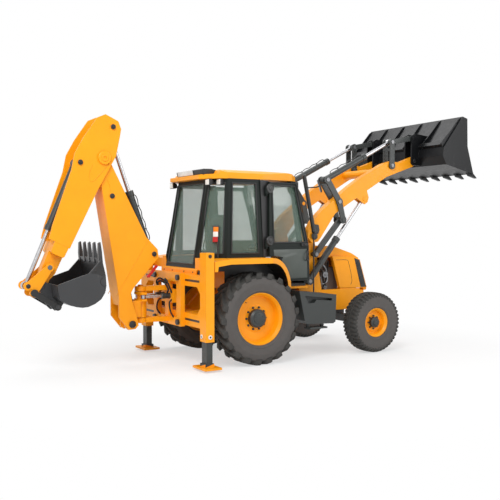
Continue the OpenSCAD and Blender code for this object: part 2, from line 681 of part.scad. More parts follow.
// Pairs of cranked plates that keep the bucket level as the arms rise
module loader_bellcranks() color(black) machine() pair() for (y = [arm_y - fork_in - fork_t, arm_y + fork_in])
  difference() {
    union() {
      link(tilt0, bell, 62, y, y + fork_t);
      link(bell, level1, 62, y, y + fork_t, true);
    }
    bar(bell, pin_r + pin_play, y - 1, y + fork_t + 1);
    bar(tilt0, pin_r + pin_play, y - 1, y + fork_t + 1);
    bar(level1, pin_r + pin_play, y - 1, y + fork_t + 1);
  }

module loader_level_links() color(black) machine() pair() {
  difference() {
    link(level0, level1, 48, arm_y - 30, arm_y + 30);
    bar(level0, pin_r + pin_play, 0, 2 * arm_y);
  }
  bar(level1, pin_r, arm_y - fork_in - fork_t - 6, arm_y + fork_in + fork_t + 10);
}

// Cross pins that turn with the arms and carry the tilt rams
module loader_tilt_pins() color(steel) machine() pair()
  bar(tilt0, pin_r, arm_y - fork_in - fork_t - 6, arm_y + fork_in + fork_t + 10);

tilt_d = span(tilt0, lever1);
tilt_a = slope(tilt0, lever1);
module loader_tilt_barrels() color(yellow) machine() pair() translate([0, arm_y, 0])
  at(tilt0, tilt_a) tube(930, 48, 28, 58, eye_w + 40);
module loader_tilt_rods() color(steel) machine() pair() translate([0, arm_y, 0])
  at(tilt0, tilt_a) rod(380, tilt_d, 28, 52, eye_w);

// Pins that stay level in the arms and carry the levers
module loader_lever_pins() color(steel) machine() pair() difference() {
  bar(lever, pin_r, arm_y - fork_in - fork_t - 6, arm_y + fork_in + fork_t + 10);
}

module loader_levers() color(black) machine() pair() for (y = [arm_y - fork_in - fork_t, arm_y + fork_in])
  difference() {
    link(lever, lever1, 62, y, y + fork_t);
    bar(lever, pin_r + pin_play, y - 1, y + fork_t + 1);
    bar(lever1, pin_r + pin_play, y - 1, y + fork_t + 1);
  }

// Stub pins at the levers' tops and at the bucket
module loader_link_pins() color(steel) machine() pair() {
  bar(lever1, pin_r, arm_y + eye_w / 2 + 7, arm_y + fork_in + fork_t + 10);
  bar(lever1, pin_r, arm_y - fork_in - fork_t - 6, arm_y - eye_w / 2 - 7);
}

module loader_bucket_links() color(black) machine() pair() for (y = [arm_y - 60, arm_y + 32])
  difference() {
    link(lever1, tip1, 52, y, y + 28);
    bar(lever1, pin_r + pin_play, y - 1, y + 29);
    bar(tip1, pin_r + pin_play, y - 1, y + 29);
  }

module loader_bucket_pins() color(steel) machine() pair()
  bar(tip, pin_r, arm_y - fork_in - fork_t - 6, arm_y + fork_in + fork_t + 10);

// Loader bucket: a bent shell between two end plates, with ears for the arms
load_out = [[160, -90], [80, 50], [110, 200], [540, 730], [650, 700], [640, 672], [560, 690], [140, 190],
  [112, 60], [180, -60], [800, -200], [800, -232]];
load_end = [[160, -90], [80, 50], [110, 200], [540, 730], [650, 700], [660, 230], [800, -215]];
module loader_bucket() color(grey) machine() difference() {
  union() {
    at(tip) slab(load_out, -load_w / 2, load_w / 2);
    pair() at(tip) slab(load_end, load_w / 2 - 25, load_w / 2);
    for (i = [-4 : 4]) at(tip) slab([[690, -206], [745, -262], [905, -300], [905, -288], [800, -195], [720, -178]],
      i * load_w * 0.12 - 28, i * load_w * 0.12 + 28);
    for (i = [-5 : 2 : 5]) at(tip) slab([[105, 190], [330, 470], [535, 724], [470, 690], [300, 500], [60, 260]],
      i * load_w * 0.097 - 9, i * load_w * 0.097 + 9);
    at(tip) slab([[120, 205], [170, 268], [130, 300], [70, 240]], -load_w / 2 + 30, load_w / 2 - 30);
    pair() for (y = [arm_y - fork_in - fork_t, arm_y + fork_in]) at(tip)
      slab([[-70, -40], [-30, -75], [160, -80], [120, 60], [150, 200], [330, 440], [10, 470], [-55, 440],
        [-60, 380], [-70, 40]], y, y + fork_t);
    pair() bar(tip1, pin_r, arm_y - fork_in - fork_t - 6, arm_y + fork_in + fork_t + 6);
  }
  pair() bar(tip, pin_r + pin_play, 0, 2 * arm_y);
}

lift_d = span(lift0, lift1);
lift_a = slope(lift0, lift1);
module loader_lift_barrels() color(yellow) machine() pair() translate([0, arm_y, 0])
  at(lift0, lift_a) tube(880, lift_r, 30, 62, eye_w + 40);
module loader_lift_rods() color(steel) machine() pair() translate([0, arm_y, 0])
  at(lift0, lift_a) rod(lift_d - 917, lift_d, 30, 55, eye_w);

// Carriage that slides across the rear frame, with the slew rams' tubes
module carriage() color(yellow) machine() difference() {
  union() {
    box([tube_face - 70, -carriage_y, 560], [tube_face - slide_gap, carriage_y, 680]);
    box([tube_face - 70, -carriage_y, 1200], [tube_face - slide_gap, carriage_y, 1330]);
    pair() box([tube_face - 70, 330, 560], [tube_face - slide_gap, carriage_y, 1330]);
    box([tube_face - 70, -190, 880], [tube_face - slide_gap, 190, 1080]);
    pair() for (z = [620, 1265]) translate([tube_face - 69, 400, z]) rotate([0, -90, 0]) cylinder(r = 42, h = 36);
    for (z = [600, 1060]) {
      box([slew_x, -60, z], [tube_face - 60, 60, z + 70]);
      translate([slew_x, 0, z]) cylinder(r = 85, h = 70);
    }
    box([tube_face - 70, -60, 600], [tube_face - slide_gap, 60, 1210]);
    pair() translate([tube_face + 150, slew_arm, slew_z]) rotate([0, -90, 0]) cylinder(r = 42, h = 350);
  }
  translate([slew_x, 0, 500]) cylinder(r = 40 + pin_play, h = 800);
  pair() translate([tube_face + 135, slew_arm, slew_z]) rotate([0, -90, 0]) cylinder(r = 22 + rod_play, h = 600);
}

module slew_rod() color(steel) translate([slew_x, slew_arm, slew_z]) {
  cylinder(r = slew_eye_r, h = slew_eye_h, center = true);
  translate([15, 0, 0]) rotate([0, 90, 0]) cylinder(r = 22, h = 455);
}
module slew_rod_l() machine() slew_rod();
module slew_rod_r() machine() mirror([0, 1, 0]) slew_rod();

// Slewing post that carries the boom and its ram, waisted where the slew rods pass
slew_band = slew_eye_h / 2 + side_gap;
module kingpost() color(yellow) machine() {
  translate([slew_x, 0, 592]) cylinder(r = 40, h = 560);
  difference() {
    union() {
      translate([slew_x, 0, 670 + side_gap]) cylinder(r = 88, h = 390 - 2 * side_gap);
      pair() slab([[slew_x - 40, 690], [slew_x - 40, 935], [hoist0[0] + 20, hoist0[1] + 75],
        [hoist0[0] - 60, hoist0[1] + 50], [hoist0[0] - 70, hoist0[1] - 70], [foot[0] - 40, 760],
        [foot[0] - 80, 660], [foot[0] - 80, 560], [foot[0] - 30, 515], [foot[0] + 50, 525],
        [foot[0] + 85, 600], [foot[0] + 90, 690]], 66, 112);
      for (z = [slew_z - slew_band - 30, slew_z + slew_band]) translate([slew_x, 0, z]) linear_extrude(height = 30)
        polygon([[-60, 60], [-40, slew_arm + 40], [40, slew_arm + 40], [60, 60], [60, -60],
          [40, -slew_arm - 40], [-40, -slew_arm - 40], [-60, -60]]);
    }
    translate([slew_x, 0, slew_z - slew_band]) difference() {
      cylinder(r = 185, h = 2 * slew_band);
      translate([0, 0, -1]) cylinder(r = 56, h = 2 * slew_band + 2);
    }
  }
  bar(foot, pin_r + 4, -boom_y - 14, boom_y + 14);
  bar(hoist0, pin_r, -116, 116);
}

// Boom: two cheek plates joined by a back plate and a nose web
module boom() color(yellow) machine() difference() {
  union() {
    at(foot, boom_a) {
      pair() slab([[-70, 60], [-80, -40], [-40, -95], [120, -90], [290, -62],
        [440, -62], [510, -120], [640, -290], [860, -575],
        [980, -580], [1183, -439], [2301, -95], [boom_l + 60, -70], [boom_l + 80, 30], [boom_l, 85],
        [1988, 98], [444, 122], [140, 175], [20, 110]], boom_y - plate_t, boom_y);
      slab([[300, 125], [1988, 98], [1988, 78], [300, 105]], -boom_y + 2, boom_y - 2);
      slab([[2050, 60], [2280, 50], [2280, -40], [2050, 0]], -boom_y + 2, boom_y - 2);
    }
    pair() bar(hoist1, pin_r, 58, boom_y + 6);
    bar(crowd0, pin_r, -boom_y - 10, boom_y + 10);
    bar(boom_tip, 60, -boom_y, boom_y);
  }
  bar(foot, pin_r + 4 + pin_play, -500, 500);
  bar(boom_tip, pin_r + pin_play, -500, 500);
}

hoist_d = span(hoist0, hoist1);
module boom_barrel() color(yellow) machine() at(hoist0, slope(hoist0, hoist1)) tube(1180, 60, 32, 60, 96);
module boom_rod() color(steel) machine() at(hoist0, slope(hoist0, hoist1)) rod(200, hoist_d, 32, 48, 90);

// Dipper: two cheeks over the boom's tip, a box below and a narrow nose
module dipper() color(yellow) machine() difference() {
  union() {
    at(boom_tip, dip_a) {
      pair() slab([[-555, -245], [-560, -40], [-480, 45], [-371, 75], [-104, 141], [456, 107], [dip_l - 618, 97],
        [dip_l - 618, -215], [dip_l - 800, -251], [371, -339], [137, -397], [-113, -382], [-456, -328]], dip_in, dip_out);
      slab([[500, -175], [dip_l - 800, -140], [dip_l - 618, -130], [dip_l - 481, -118], [dip_l - 461, -90],
        [dip_l - 461, 60], [dip_l - 481, 78], [dip_l - 618, 82], [500, 90]], -dip_out + 2, dip_out - 2);
      slab([[dip_l - 761, -130], [dip_l - 261, -105], [dip_l - 40, -75], [dip_l + 60, -55], [dip_l + 80, 20],
        [dip_l + 30, 75], [dip_l - 60, 60], [dip_l - 130, 60], [dip_l - 230, 95], [dip_l - 761, 90]], -nose_y, nose_y);
    }
    bar(boom_tip, pin_r, -dip_out - 14, dip_out + 14);
    bar(curl0, pin_r, -dip_out - 8, dip_out + 8);
    pair() bar(crowd1, pin_r, 60, dip_out + 10);
    bar(curl_lever, pin_r, -curl_y1 - 4, curl_y1 + 4);
  }
  bar(dig_pin, pin_r + pin_play, -500, 500);
}

crowd_d = span(crowd0, crowd1);
module dipper_barrel() color(yellow) machine() at(crowd0, slope(crowd0, crowd1)) tube(960, 58, 30, 62, 100);
module dipper_rod() color(steel) machine() at(crowd0, slope(crowd0, crowd1)) rod(crowd_d - 1040, crowd_d, 30, 55, 90);

curl_d = span(curl0, curl1);
module bucket_barrel() color(yellow) machine() at(curl0, slope(curl0, curl1)) tube(1006, 52, 30, 60, 100);
module bucket_rod() color(steel) machine() at(curl0, slope(curl0, curl1)) rod(curl_d - 1130, curl_d, 30, 55, 90);

// Three-pin tipping levers on the dipper's nose
curl_n = curl_r * 0.8;
curl_a1 = slope(curl_lever, curl1);
curl_a2 = slope(curl_lever, curl_link0);
module bucket_levers() color(yellow) machine() difference() {
  union() {
    pair() {
      for (p = [curl_lever, curl1, curl_link0]) bar(p, curl_r, curl_y0, curl_y1);
      slab([from(curl_lever, curl_a1, [0, -curl_n]), from(curl1, curl_a1, [0, -curl_n]),
        from(curl_link0, curl_a2, [0, curl_n]), from(curl_lever, curl_a2, [0, curl_n])], curl_y0, curl_y1);
      bar(curl1, pin_r, 52, curl_y1 + 4);
    }
  }
  bar(curl_lever, pin_r + pin_play, -500, 500);
}

module bucket_links() color(yellow) machine() difference() {
  pair() link(curl_link0, curl_link1, 50, link0, link1);
  bar(curl_link1, pin_r + pin_play, -500, 500);
}

// Digging bucket: a curved shell between end plates, five teeth and two ears
dig_back = [[107, -40], [20, -190], [18, -240], [30, -290], [62, -369], [110, -440], [161, -500], [227, -548],
  [325, -582], [430, -592], [526, -562], [602, -502], [684, -392], [743, -278]];
dig_out = concat(dig_back, [[800, -160], [775, -150], [718, -268], [660, -376], [585, -475], [514, -535],
  [428, -564], [330, -554], [238, -522], [180, -478], [132, -426], [88, -357], [56, -283], [46, -236],
  [46, -196], [124, -60]]);
dig_end = concat(dig_back, [[790, -180], [530, -211]]);
module backhoe_bucket() color(black) machine() difference() {
  union() {
    at(dig_pin, dig_a) {
      slab(dig_out, -dig_w / 2, dig_w / 2);
      pair() slab(dig_end, dig_w / 2 - 22, dig_w / 2);
      for (i = [-2 : 2]) slab([[760, -250], [860, -110], [928, 0], [900, 0], [800, -110], [735, -200]],
        i * (dig_w - 90) / 4 - 32, i * (dig_w - 90) / 4 + 32);
      pair() slab([[-60, 40], [20, 65], [75, 20], [112, -50], [25, -190], [35, -290], [75, -370], [-30, -395],
        [-85, -360], [-90, -300], [-60, -100]], ear0, ear1);
    }
    bar(dig_pin, pin_r, -ear1 - 4, ear1 + 4);
    pair() bar(curl_link1, pin_r, ear0, link1 + 6);
  }
}

main_frame();
rear_frame();
rear_axle();
front_axle();
engine();
cab_frame();
cab_roof();
cab_lower();
cab_glass();
cab_interior();
side_tanks();
lamps();
mirrors();
exhaust();
bonnet();
door_l();
door_r();
door_glass_l();
door_glass_r();
knuckle_l();
knuckle_r();
front_tyre_l();
front_tyre_r();
front_rim_l();
front_rim_r();
rear_tyre_l();
rear_tyre_r();
rear_rim_l();
rear_rim_r();
stab_leg_l();
stab_leg_r();
loader_arms();
loader_bellcranks();
loader_level_links();
loader_tilt_pins();
loader_tilt_barrels();
loader_tilt_rods();
loader_lever_pins();
loader_levers();
loader_link_pins();
loader_bucket_links();
loader_bucket_pins();
loader_bucket();
loader_lift_barrels();
loader_lift_rods();
carriage();
slew_rod_l();
slew_rod_r();
kingpost();
boom();
boom_barrel();
boom_rod();
dipper();
dipper_barrel();
dipper_rod();
bucket_barrel();
bucket_rod();
bucket_levers();
bucket_links();
backhoe_bucket();
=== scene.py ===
"""Looks of the backhoe loader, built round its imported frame. Metres, in the frame's own axes."""
import json
import math

import bpy
import bmesh
from mathutils import Matrix, Vector


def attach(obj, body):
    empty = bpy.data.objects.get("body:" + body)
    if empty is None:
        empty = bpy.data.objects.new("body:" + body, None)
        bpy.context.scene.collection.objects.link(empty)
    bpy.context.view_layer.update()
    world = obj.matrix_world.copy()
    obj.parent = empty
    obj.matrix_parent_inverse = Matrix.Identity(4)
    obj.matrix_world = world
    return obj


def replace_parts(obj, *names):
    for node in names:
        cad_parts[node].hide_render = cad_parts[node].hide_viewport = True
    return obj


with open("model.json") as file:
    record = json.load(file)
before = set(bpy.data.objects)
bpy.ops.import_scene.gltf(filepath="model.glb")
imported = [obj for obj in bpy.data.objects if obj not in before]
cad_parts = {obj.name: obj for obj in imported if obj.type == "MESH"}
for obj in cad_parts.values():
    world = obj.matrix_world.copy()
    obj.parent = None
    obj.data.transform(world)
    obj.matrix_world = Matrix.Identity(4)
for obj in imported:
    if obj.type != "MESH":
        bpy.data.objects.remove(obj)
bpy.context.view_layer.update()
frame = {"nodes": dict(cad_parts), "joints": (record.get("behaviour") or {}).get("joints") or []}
nodes = frame["nodes"]
scene = bpy.context.scene
scene.view_settings.view_transform = "Standard"

JOINT_AT = {j["name"]: j["pos_m"] for j in frame["joints"] if "pos_m" in j}
# Places below are measured from the rear axle, which lies this far from the origin
AXLE = JOINT_AT["rear_wheel_left"][0]
SIDES = (("left", "l", 1), ("right", "r", -1))


def at(x, y, z):
    return Vector((x + AXLE, y, z))


def pin(joint):
    """Where a joint turns, as (x, z) from the rear axle."""
    x, _, z = JOINT_AT[joint]
    return (x - AXLE, z)


def linear(r, g, b):
    """A colour as it looks on screen, 0 to 255, in the renderer's own scale."""
    def one(c):
        c /= 255
        return c / 12.92 if c <= 0.04045 else ((c + 0.055) / 1.055) ** 2.4
    return (one(r), one(g), one(b), 1.0)


# Materials


def nodes_of(name):
    m = bpy.data.materials.new(name)
    m.use_nodes = True
    return m, m.node_tree, m.node_tree.nodes["Principled BSDF"]


def noise(tree, scale, detail=4.0, rough=0.6, stretch=None):
    coord = tree.nodes.new("ShaderNodeTexCoord")
    n = tree.nodes.new("ShaderNodeTexNoise")
    n.inputs["Scale"].default_value = scale
    n.inputs["Detail"].default_value = detail
    n.inputs["Roughness"].default_value = rough
    if stretch:
        m = tree.nodes.new("ShaderNodeMapping")
        m.inputs["Scale"].default_value = stretch
        tree.links.new(coord.outputs["Object"], m.inputs["Vector"])
        tree.links.new(m.outputs["Vector"], n.inputs["Vector"])
    else:
        tree.links.new(coord.outputs["Object"], n.inputs["Vector"])
    return n.outputs["Fac"]


def ramp(tree, fac, stops):
    r = tree.nodes.new("ShaderNodeValToRGB")
    e = r.color_ramp.elements
    while len(e) < len(stops):
        e.new(0.5)
    for slot, (pos, col) in zip(e, stops):
        slot.position = pos
        slot.color = col
    tree.links.new(fac, r.inputs["Fac"])
    return r.outputs["Color"]


def grey(v):
    return (v, v, v, 1.0)


def shade(c, k):
    return (c[0] * k, c[1] * k, c[2] * k, 1.0)


def mix(tree, fac, a, b):
    m = tree.nodes.new("ShaderNodeMix")
    m.data_type = "RGBA"
    for value, socket in ((fac, m.inputs[0]), (a, m.inputs[6]), (b, m.inputs[7])):
        if isinstance(value, (tuple, float)):
            socket.default_value = value
        else:
            tree.links.new(value, socket)
    return m.outputs[2]


def rounded(tree, bsdf, radius, height, strength, distance):
    """Softened edges, with a fine surface over them."""
    bump = tree.nodes.new("ShaderNodeBump")
    bump.inputs["Strength"].default_value = strength
    bump.inputs["Distance"].default_value = distance
    tree.links.new(height, bump.inputs["Height"])
    if radius:
        bevel = tree.nodes.new("ShaderNodeBevel")
        bevel.samples = 4
        bevel.inputs["Radius"].default_value = radius
        tree.links.new(bevel.outputs["Normal"], bump.inputs["Normal"])
    tree.links.new(bump.outputs["Normal"], bsdf.inputs["Normal"])


def paint(name, colour, rough, coat=0.0, wear=0.0, shine=0.5, radius=0.006):
    """Sprayed metal: slight patches of tone, orange peel, and rubbed spots where wear is above 0."""
    m, tree, bsdf = nodes_of(name)
    tone = ramp(tree, noise(tree, 2.3, 5), [(0.3, shade(colour, 0.93)), (0.7, shade(colour, 1.04))])
    if wear:
        spots = ramp(tree, noise(tree, 9.0, 9, 0.72, (1, 1, 0.35)), [(0.60, grey(0)), (0.70, grey(wear))])
        tone = mix(tree, spots, tone, linear(120, 118, 114))
    tree.links.new(tone, bsdf.inputs["Base Color"])
    r = ramp(tree, noise(tree, 17.0, 6), [(0.3, grey(rough * 0.85)), (0.75, grey(min(1, rough * 1.25)))])
    tree.links.new(r, bsdf.inputs["Roughness"])
    bsdf.inputs["Specular IOR Level"].default_value = shine
    bsdf.inputs["Coat Weight"].default_value = coat
    bsdf.inputs["Coat Roughness"].default_value = 0.12
    rounded(tree, bsdf, radius, noise(tree, 420.0, 2), 0.06, 0.001)
    return m


def rubber(name, colour, scale=240.0, dust=1.6):
    m, tree, bsdf = nodes_of(name)
    dusty = ramp(tree, noise(tree, 11.0, 8, 0.65), [(0.35, colour), (0.75, shade(colour, dust))])
    tree.links.new(dusty, bsdf.inputs["Base Color"])
    bsdf.inputs["Roughness"].default_value = 0.78
    bsdf.inputs["Specular IOR Level"].default_value = 0.3
    rounded(tree, bsdf, 0.006, noise(tree, scale, 4), 0.1 * dust, 0.002)
    return m


def plastic(name, colour, rough=0.55, scale=700.0, radius=0.004):
    m, tree, bsdf = nodes_of(name)
    tone = ramp(tree, noise(tree, 6.0, 4), [(0.3, shade(colour, 0.88)), (0.7, shade(colour, 1.12))])
    tree.links.new(tone, bsdf.inputs["Base Color"])
    bsdf.inputs["Roughness"].default_value = rough
    rounded(tree, bsdf, radius, noise(tree, scale, 2), 0.18, 0.0008)
    return m


def metal(name, colour, rough, brushed=False, radius=0.004):
    m, tree, bsdf = nodes_of(name)
    bsdf.inputs["Metallic"].default_value = 1.0
    tone = ramp(tree, noise(tree, 14.0, 5), [(0.3, shade(colour, 0.9)), (0.7, shade(colour, 1.05))])
    tree.links.new(tone, bsdf.inputs["Base Color"])
    r = ramp(tree, noise(tree, 30.0, 4), [(0.3, grey(rough * 0.7)), (0.7, grey(rough * 1.3))])
    tree.links.new(r, bsdf.inputs["Roughness"])
    rounded(tree, bsdf, radius, noise(tree, 500.0, 2, 0.5, (1, 1, 0.05) if brushed else None), 0.08, 0.0006)
    return m


def glass(name, colour, alpha):
    m, tree, bsdf = nodes_of(name)
    film = ramp(tree, noise(tree, 3.0, 6), [(0.3, grey(alpha * 0.9)), (0.75, grey(min(1, alpha * 1.15)))])
    bsdf.inputs["Base Color"].default_value = colour
    bsdf.inputs["Roughness"].default_value = 0.04
    bsdf.inputs["Coat Weight"].default_value = 0.5
    tree.links.new(film, bsdf.inputs["Alpha"])
    m.surface_render_method = "BLENDED"
    return m


YELLOW = linear(252, 162, 8)
MAT = {
    "yellow": paint("yellow_paint", YELLOW, 0.40, 0.05, 0.0, 0.35),
    "dark": paint("dark_grey_paint", linear(46, 50, 49), 0.42, 0.1),
    "black": paint("black_paint", linear(30, 30, 30), 0.42, 0.15),
    "pillar": paint("cab_paint", linear(20, 27, 24), 0.40, 0.0, 0.0, 0.22),
    "panel": paint("door_panel_paint", linear(69, 76, 71), 0.42, 0.1),
    "cast": paint("cast_iron", linear(104, 90, 82), 0.6),
    "bucket": paint("bucket_paint", linear(20, 21, 23), 0.33, 0.0, 0.12, 0.22),
    "digger": paint("digger_paint", linear(50, 51, 53), 0.38, 0.1, 0.2),
    "rubber": rubber("tyre_rubber", linear(56, 55, 53)),
    "sidewall": rubber("sidewall_rubber", linear(84, 81, 79), 240.0, 1.15),
    "hose": rubber("hose_rubber", linear(34, 34, 34), 500.0),
    "chrome": metal("rod_chrome", linear(188, 188, 190), 0.26, False, 0),
    "steel": metal("pin_steel", linear(120, 120, 122), 0.36, True),
    "glass": glass("tinted_glass", linear(122, 146, 132), 0.30),
    "plastic": plastic("trim_plastic", linear(40, 40, 41)),
    "seat": plastic("seat_vinyl", linear(48, 47, 46), 0.6, 300.0),
    "lens": plastic("lamp_lens", linear(232, 232, 226), 0.18),
    "amber": plastic("amber_lens", linear(240, 130, 20), 0.2),
    "red": plastic("red_lens", linear(190, 24, 20), 0.2),
    "white": plastic("plate_white", linear(226, 226, 222), 0.45),
}

DRESS = {
    "pillar": ["cab_frame", "door_l", "door_r"],
    "cast": ["engine"],
    "dark": ["side_tanks", "stab_leg_l", "stab_leg_r",
             "loader_tilt_barrels", "loader_lift_barrels", "dipper_barrel", "bucket_barrel", "boom_barrel",
             "loader_bellcranks", "loader_level_links", "loader_levers", "loader_bucket_links"],
    "black": ["front_axle", "rear_axle", "knuckle_l", "knuckle_r", "exhaust", "mirrors", "cab_interior",
              "bucket_links"],
    "bucket": ["loader_bucket"],
    "digger": ["backhoe_bucket"],
    "rubber": ["rear_tyre_l", "rear_tyre_r", "front_tyre_l", "front_tyre_r"],
    "chrome": ["loader_tilt_rods", "loader_lift_rods", "slew_rod_l", "slew_rod_r", "boom_rod",
               "dipper_rod", "bucket_rod"],
    "steel": ["loader_tilt_pins", "loader_lever_pins", "loader_link_pins", "loader_bucket_pins"],
    "glass": ["cab_glass", "door_glass_l", "door_glass_r"],
    "lens": ["lamps"],
}
dressed = {n: key for key, names in DRESS.items() for n in names}
for name, obj in nodes.items():
    obj.data.materials.clear()
    obj.data.materials.append(MAT[dressed.get(name, "yellow")])


def repaint(name, mat, test):
    """Faces of a solid that pass the test, by place from the rear axle and facing, in another material."""
    mesh = nodes[name].data
    mesh.materials.append(MAT[mat])
    for p in mesh.polygons:
        if test(p.center - Vector((AXLE, 0, 0)), p.normal):
            p.material_index = len(mesh.materials) - 1


def beside(c, y, reach):
    """Whether a place lies near a plane of y, on either side of the machine."""
    return abs(abs(c.y) - y) < reach


PAD_TOP = 0.075
ARCH_WALL, ARCH_CROWN = 0.60, 1.50
SLEW_RAM_Y, SLEW_Z = 0.105, pin("slew")[1]
CLAMP_Y = 0.40


def in_arch_shade(c, n):
    """Underside of a wheel arch and the wall beside the wheel: the faces that take the painted shade under
    the fender.
    """
    wall = ARCH_WALL - 0.01 < abs(c.y) < ARCH_WALL + 0.005
    return c.z < ARCH_CROWN and (wall or abs(c.y) > ARCH_WALL and n.z < -0.15)


def in_cab(c, n):
    """Floor, rear shelf and side walls that face the driver."""
    return abs(c.y) < 0.575 and c.x > -0.735 and (n.z > 0.5 or n.x > 0.5 or n.y * c.y < -0.3)


def on_slew_ram(c, n):
    """The tubes of the rams beside the slewing post."""
    return beside(c, SLEW_RAM_Y, 0.05) and abs(c.z - SLEW_Z) < 0.05 and c.x < -0.99


# Pads under the legs, black painted shade inside the wheel arches, the inside of the cab, the slew rams'
# tubes, clamps and grille
for _, short, _ in SIDES:
    repaint(f"stab_leg_{short}", "yellow", lambda c, n: c.z < PAD_TOP)
# Painted shade: the arch's underside and the wall beside the wheel are painted black, as the shade under the
# fender
repaint("cab_lower", "black", in_arch_shade)
repaint("cab_lower", "plastic", in_cab)
repaint("carriage", "dark", on_slew_ram)
repaint("carriage", "black", lambda c, n: beside(c, CLAMP_Y, 0.045) and c.x < -0.985)
repaint("bonnet", "black", lambda c, n: abs(c.y) < 0.3 and c.x > 2.31 and 1.03 < c.z < 1.42)

# Mesh making


class Build:
    """Collects simple solids into one mesh, then makes it a piece that rides on a body."""

    def __init__(self):
        self.bm = bmesh.new()

    def add(self, rows, faces):
        made = [self.bm.verts.new(r) for r in rows]
        for f in faces:
            self.bm.faces.new([made[i] for i in f])

    def loft(self, sections):
        """Rings of points, each joined to the next, with both ends closed."""
        n = len(sections[0])
        rows = [p for s in sections for p in s]
        faces = []
        for k in range(len(sections) - 1):
            for i in range(n):
                j = (i + 1) % n
                faces.append((k * n + i, k * n + j, (k + 1) * n + j, (k + 1) * n + i))
        faces.append(tuple(range(n - 1, -1, -1)))
        faces.append(tuple((len(sections) - 1) * n + i for i in range(n)))
        self.add(rows, faces)

    def box(self, lo, hi):
        (x0, y0, z0), (x1, y1, z1) = lo, hi
        low = [Vector(p) for p in ((x0, y0, z0), (x1, y0, z0), (x1, y1, z0), (x0, y1, z0))]
        high = [p + Vector((0, 0, z1 - z0)) for p in low]
        self.loft([low, high])

    def plate(self, pts, y0, y1):
        """An outline of (x, z) from the rear axle, between two planes of y."""
        a, b = [at(x, y0, z) for x, z in pts], [at(x, y1, z) for x, z in pts]
        self.loft([a, b])

    def turned(self, profile, centre, axis, n=32):
        """A closed profile of (radius, along) turned about an axis."""
        axis = Vector(axis).normalized()
        u = axis.orthogonal().normalized()
        v = axis.cross(u)
        c = Vector(centre)
        rows, faces, k = [], [], len(profile)
        for i in range(n):
            a = 2 * math.pi * i / n
            d = u * math.cos(a) + v * math.sin(a)
            rows += [c + d * r + axis * h for r, h in profile]
        for i in range(n):
            for j in range(k):
                a, b = i * k, ((i + 1) % n) * k
                faces.append((a + j, b + j, b + (j + 1) % k, a + (j + 1) % k))
        self.add(rows, faces)

    def disc(self, centre, axis, r, h, n=20, dome=0.0):
        """A short round boss from centre along axis."""
        prof = [(0.0005, 0), (r, 0), (r, h * (1 - dome)), (r * (1 - 0.4 * dome), h), (0.0005, h)]
        self.turned(prof, centre, axis, n)

    def nut(self, centre, axis, r, h):
        self.disc(centre, axis, r, h, 6)
        self.disc(centre, axis, r * 1.35, h * 0.25, 14)

    def tube(self, pts, r, n=10):
        """A round bar swept through points."""
        pts = [Vector(p) for p in pts]
        rings, up = [], None
        for i, p in enumerate(pts):
            d = (pts[min(i + 1, len(pts) - 1)] - pts[max(i - 1, 0)]).normalized()
            up = d.orthogonal().normalized() if up is None else (up - d * up.dot(d)).normalized()
            w = d.cross(up)
            rings.append([p + (up * math.cos(2 * math.pi * k / n) + w * math.sin(2 * math.pi * k / n)) * r
                          for k in range(n)])
        self.loft(rings)

    def done(self, name, mat, body, slot, bevel=0.003, steps=2):
        """The piece itself: smooth but for its sharp edges, bevelled, riding on a body."""
        bmesh.ops.recalc_face_normals(self.bm, faces=self.bm.faces)
        mesh = bpy.data.meshes.new(name)
        self.bm.to_mesh(mesh)
        self.bm.free()
        mesh.materials.append(MAT[mat])
        mesh.polygons.foreach_set("use_smooth", [True] * len(mesh.polygons))
        mesh.set_sharp_from_angle(angle=math.radians(35))
        obj = bpy.data.objects.new(name, mesh)
        scene.collection.objects.link(obj)
        if bevel:
            b = obj.modifiers.new("edges", "BEVEL")
            b.width = bevel
            b.segments = steps
            b.limit_method = "ANGLE"
            b.angle_limit = math.radians(40)
            b.harden_normals = False
        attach(obj, body)
        return obj


def curve(points, n=8):
    """A smooth run of points through the given ones."""
    p = [Vector(q) for q in points]
    p = [p[0] * 2 - p[1]] + p + [p[-1] * 2 - p[-2]]
    out = []
    for i in range(1, len(p) - 2):
        for k in range(n):
            t = k / n
            a, b, c, d = p[i - 1], p[i], p[i + 1], p[i + 2]
            out.append(0.5 * (2 * b + (c - a) * t + (2 * a - 5 * b + 4 * c - d) * t * t
                              + (3 * b - a - 3 * c + d) * t ** 3))
    return out + [p[-2]]


def bend(x, n):
    """A share from -1 to 1 raised to a power, with its sign kept."""
    return math.copysign(abs(x) ** n, x)


def angles(n, shift=0.0):
    return [2 * math.pi * (k + shift) / n for k in range(n)]


# Wheels: radius of the hub and of the side wall's edge, the hub's face, and the nuts' number, ring and size
WHEELS = {
    "rear": {"hub": 0.136, "wall": 0.585, "face": 0.128, "nuts": (10, 0.162, 0.013)},
    "front": {"hub": 0.086, "wall": 0.415, "face": 0.113, "nuts": (8, 0.104, 0.011)},
}
REAR_LUGS = 21
FRONT_BARS = 44
RIM_FACE = 0.0435


def around(c, r, a, y):
    return c + Vector((r * math.cos(a), y, r * math.sin(a)))


def bar_on_tread(b, c, stations):
    """A rubber bar through stations of (angle, y, low radius, high radius, half width at base, at top)."""
    rings = []
    for a, y, lo, hi, w0, w1 in stations:
        rings.append([around(c, lo, a - w0 / lo, y), around(c, hi, a - w1 / hi, y),
                      around(c, hi, a + w1 / hi, y), around(c, lo, a + w0 / lo, y)])
    b.loft(rings)


def mirrored(half):
    return [(r, -y) for r, y in half] + [(r, y) for r, y in reversed(half)]


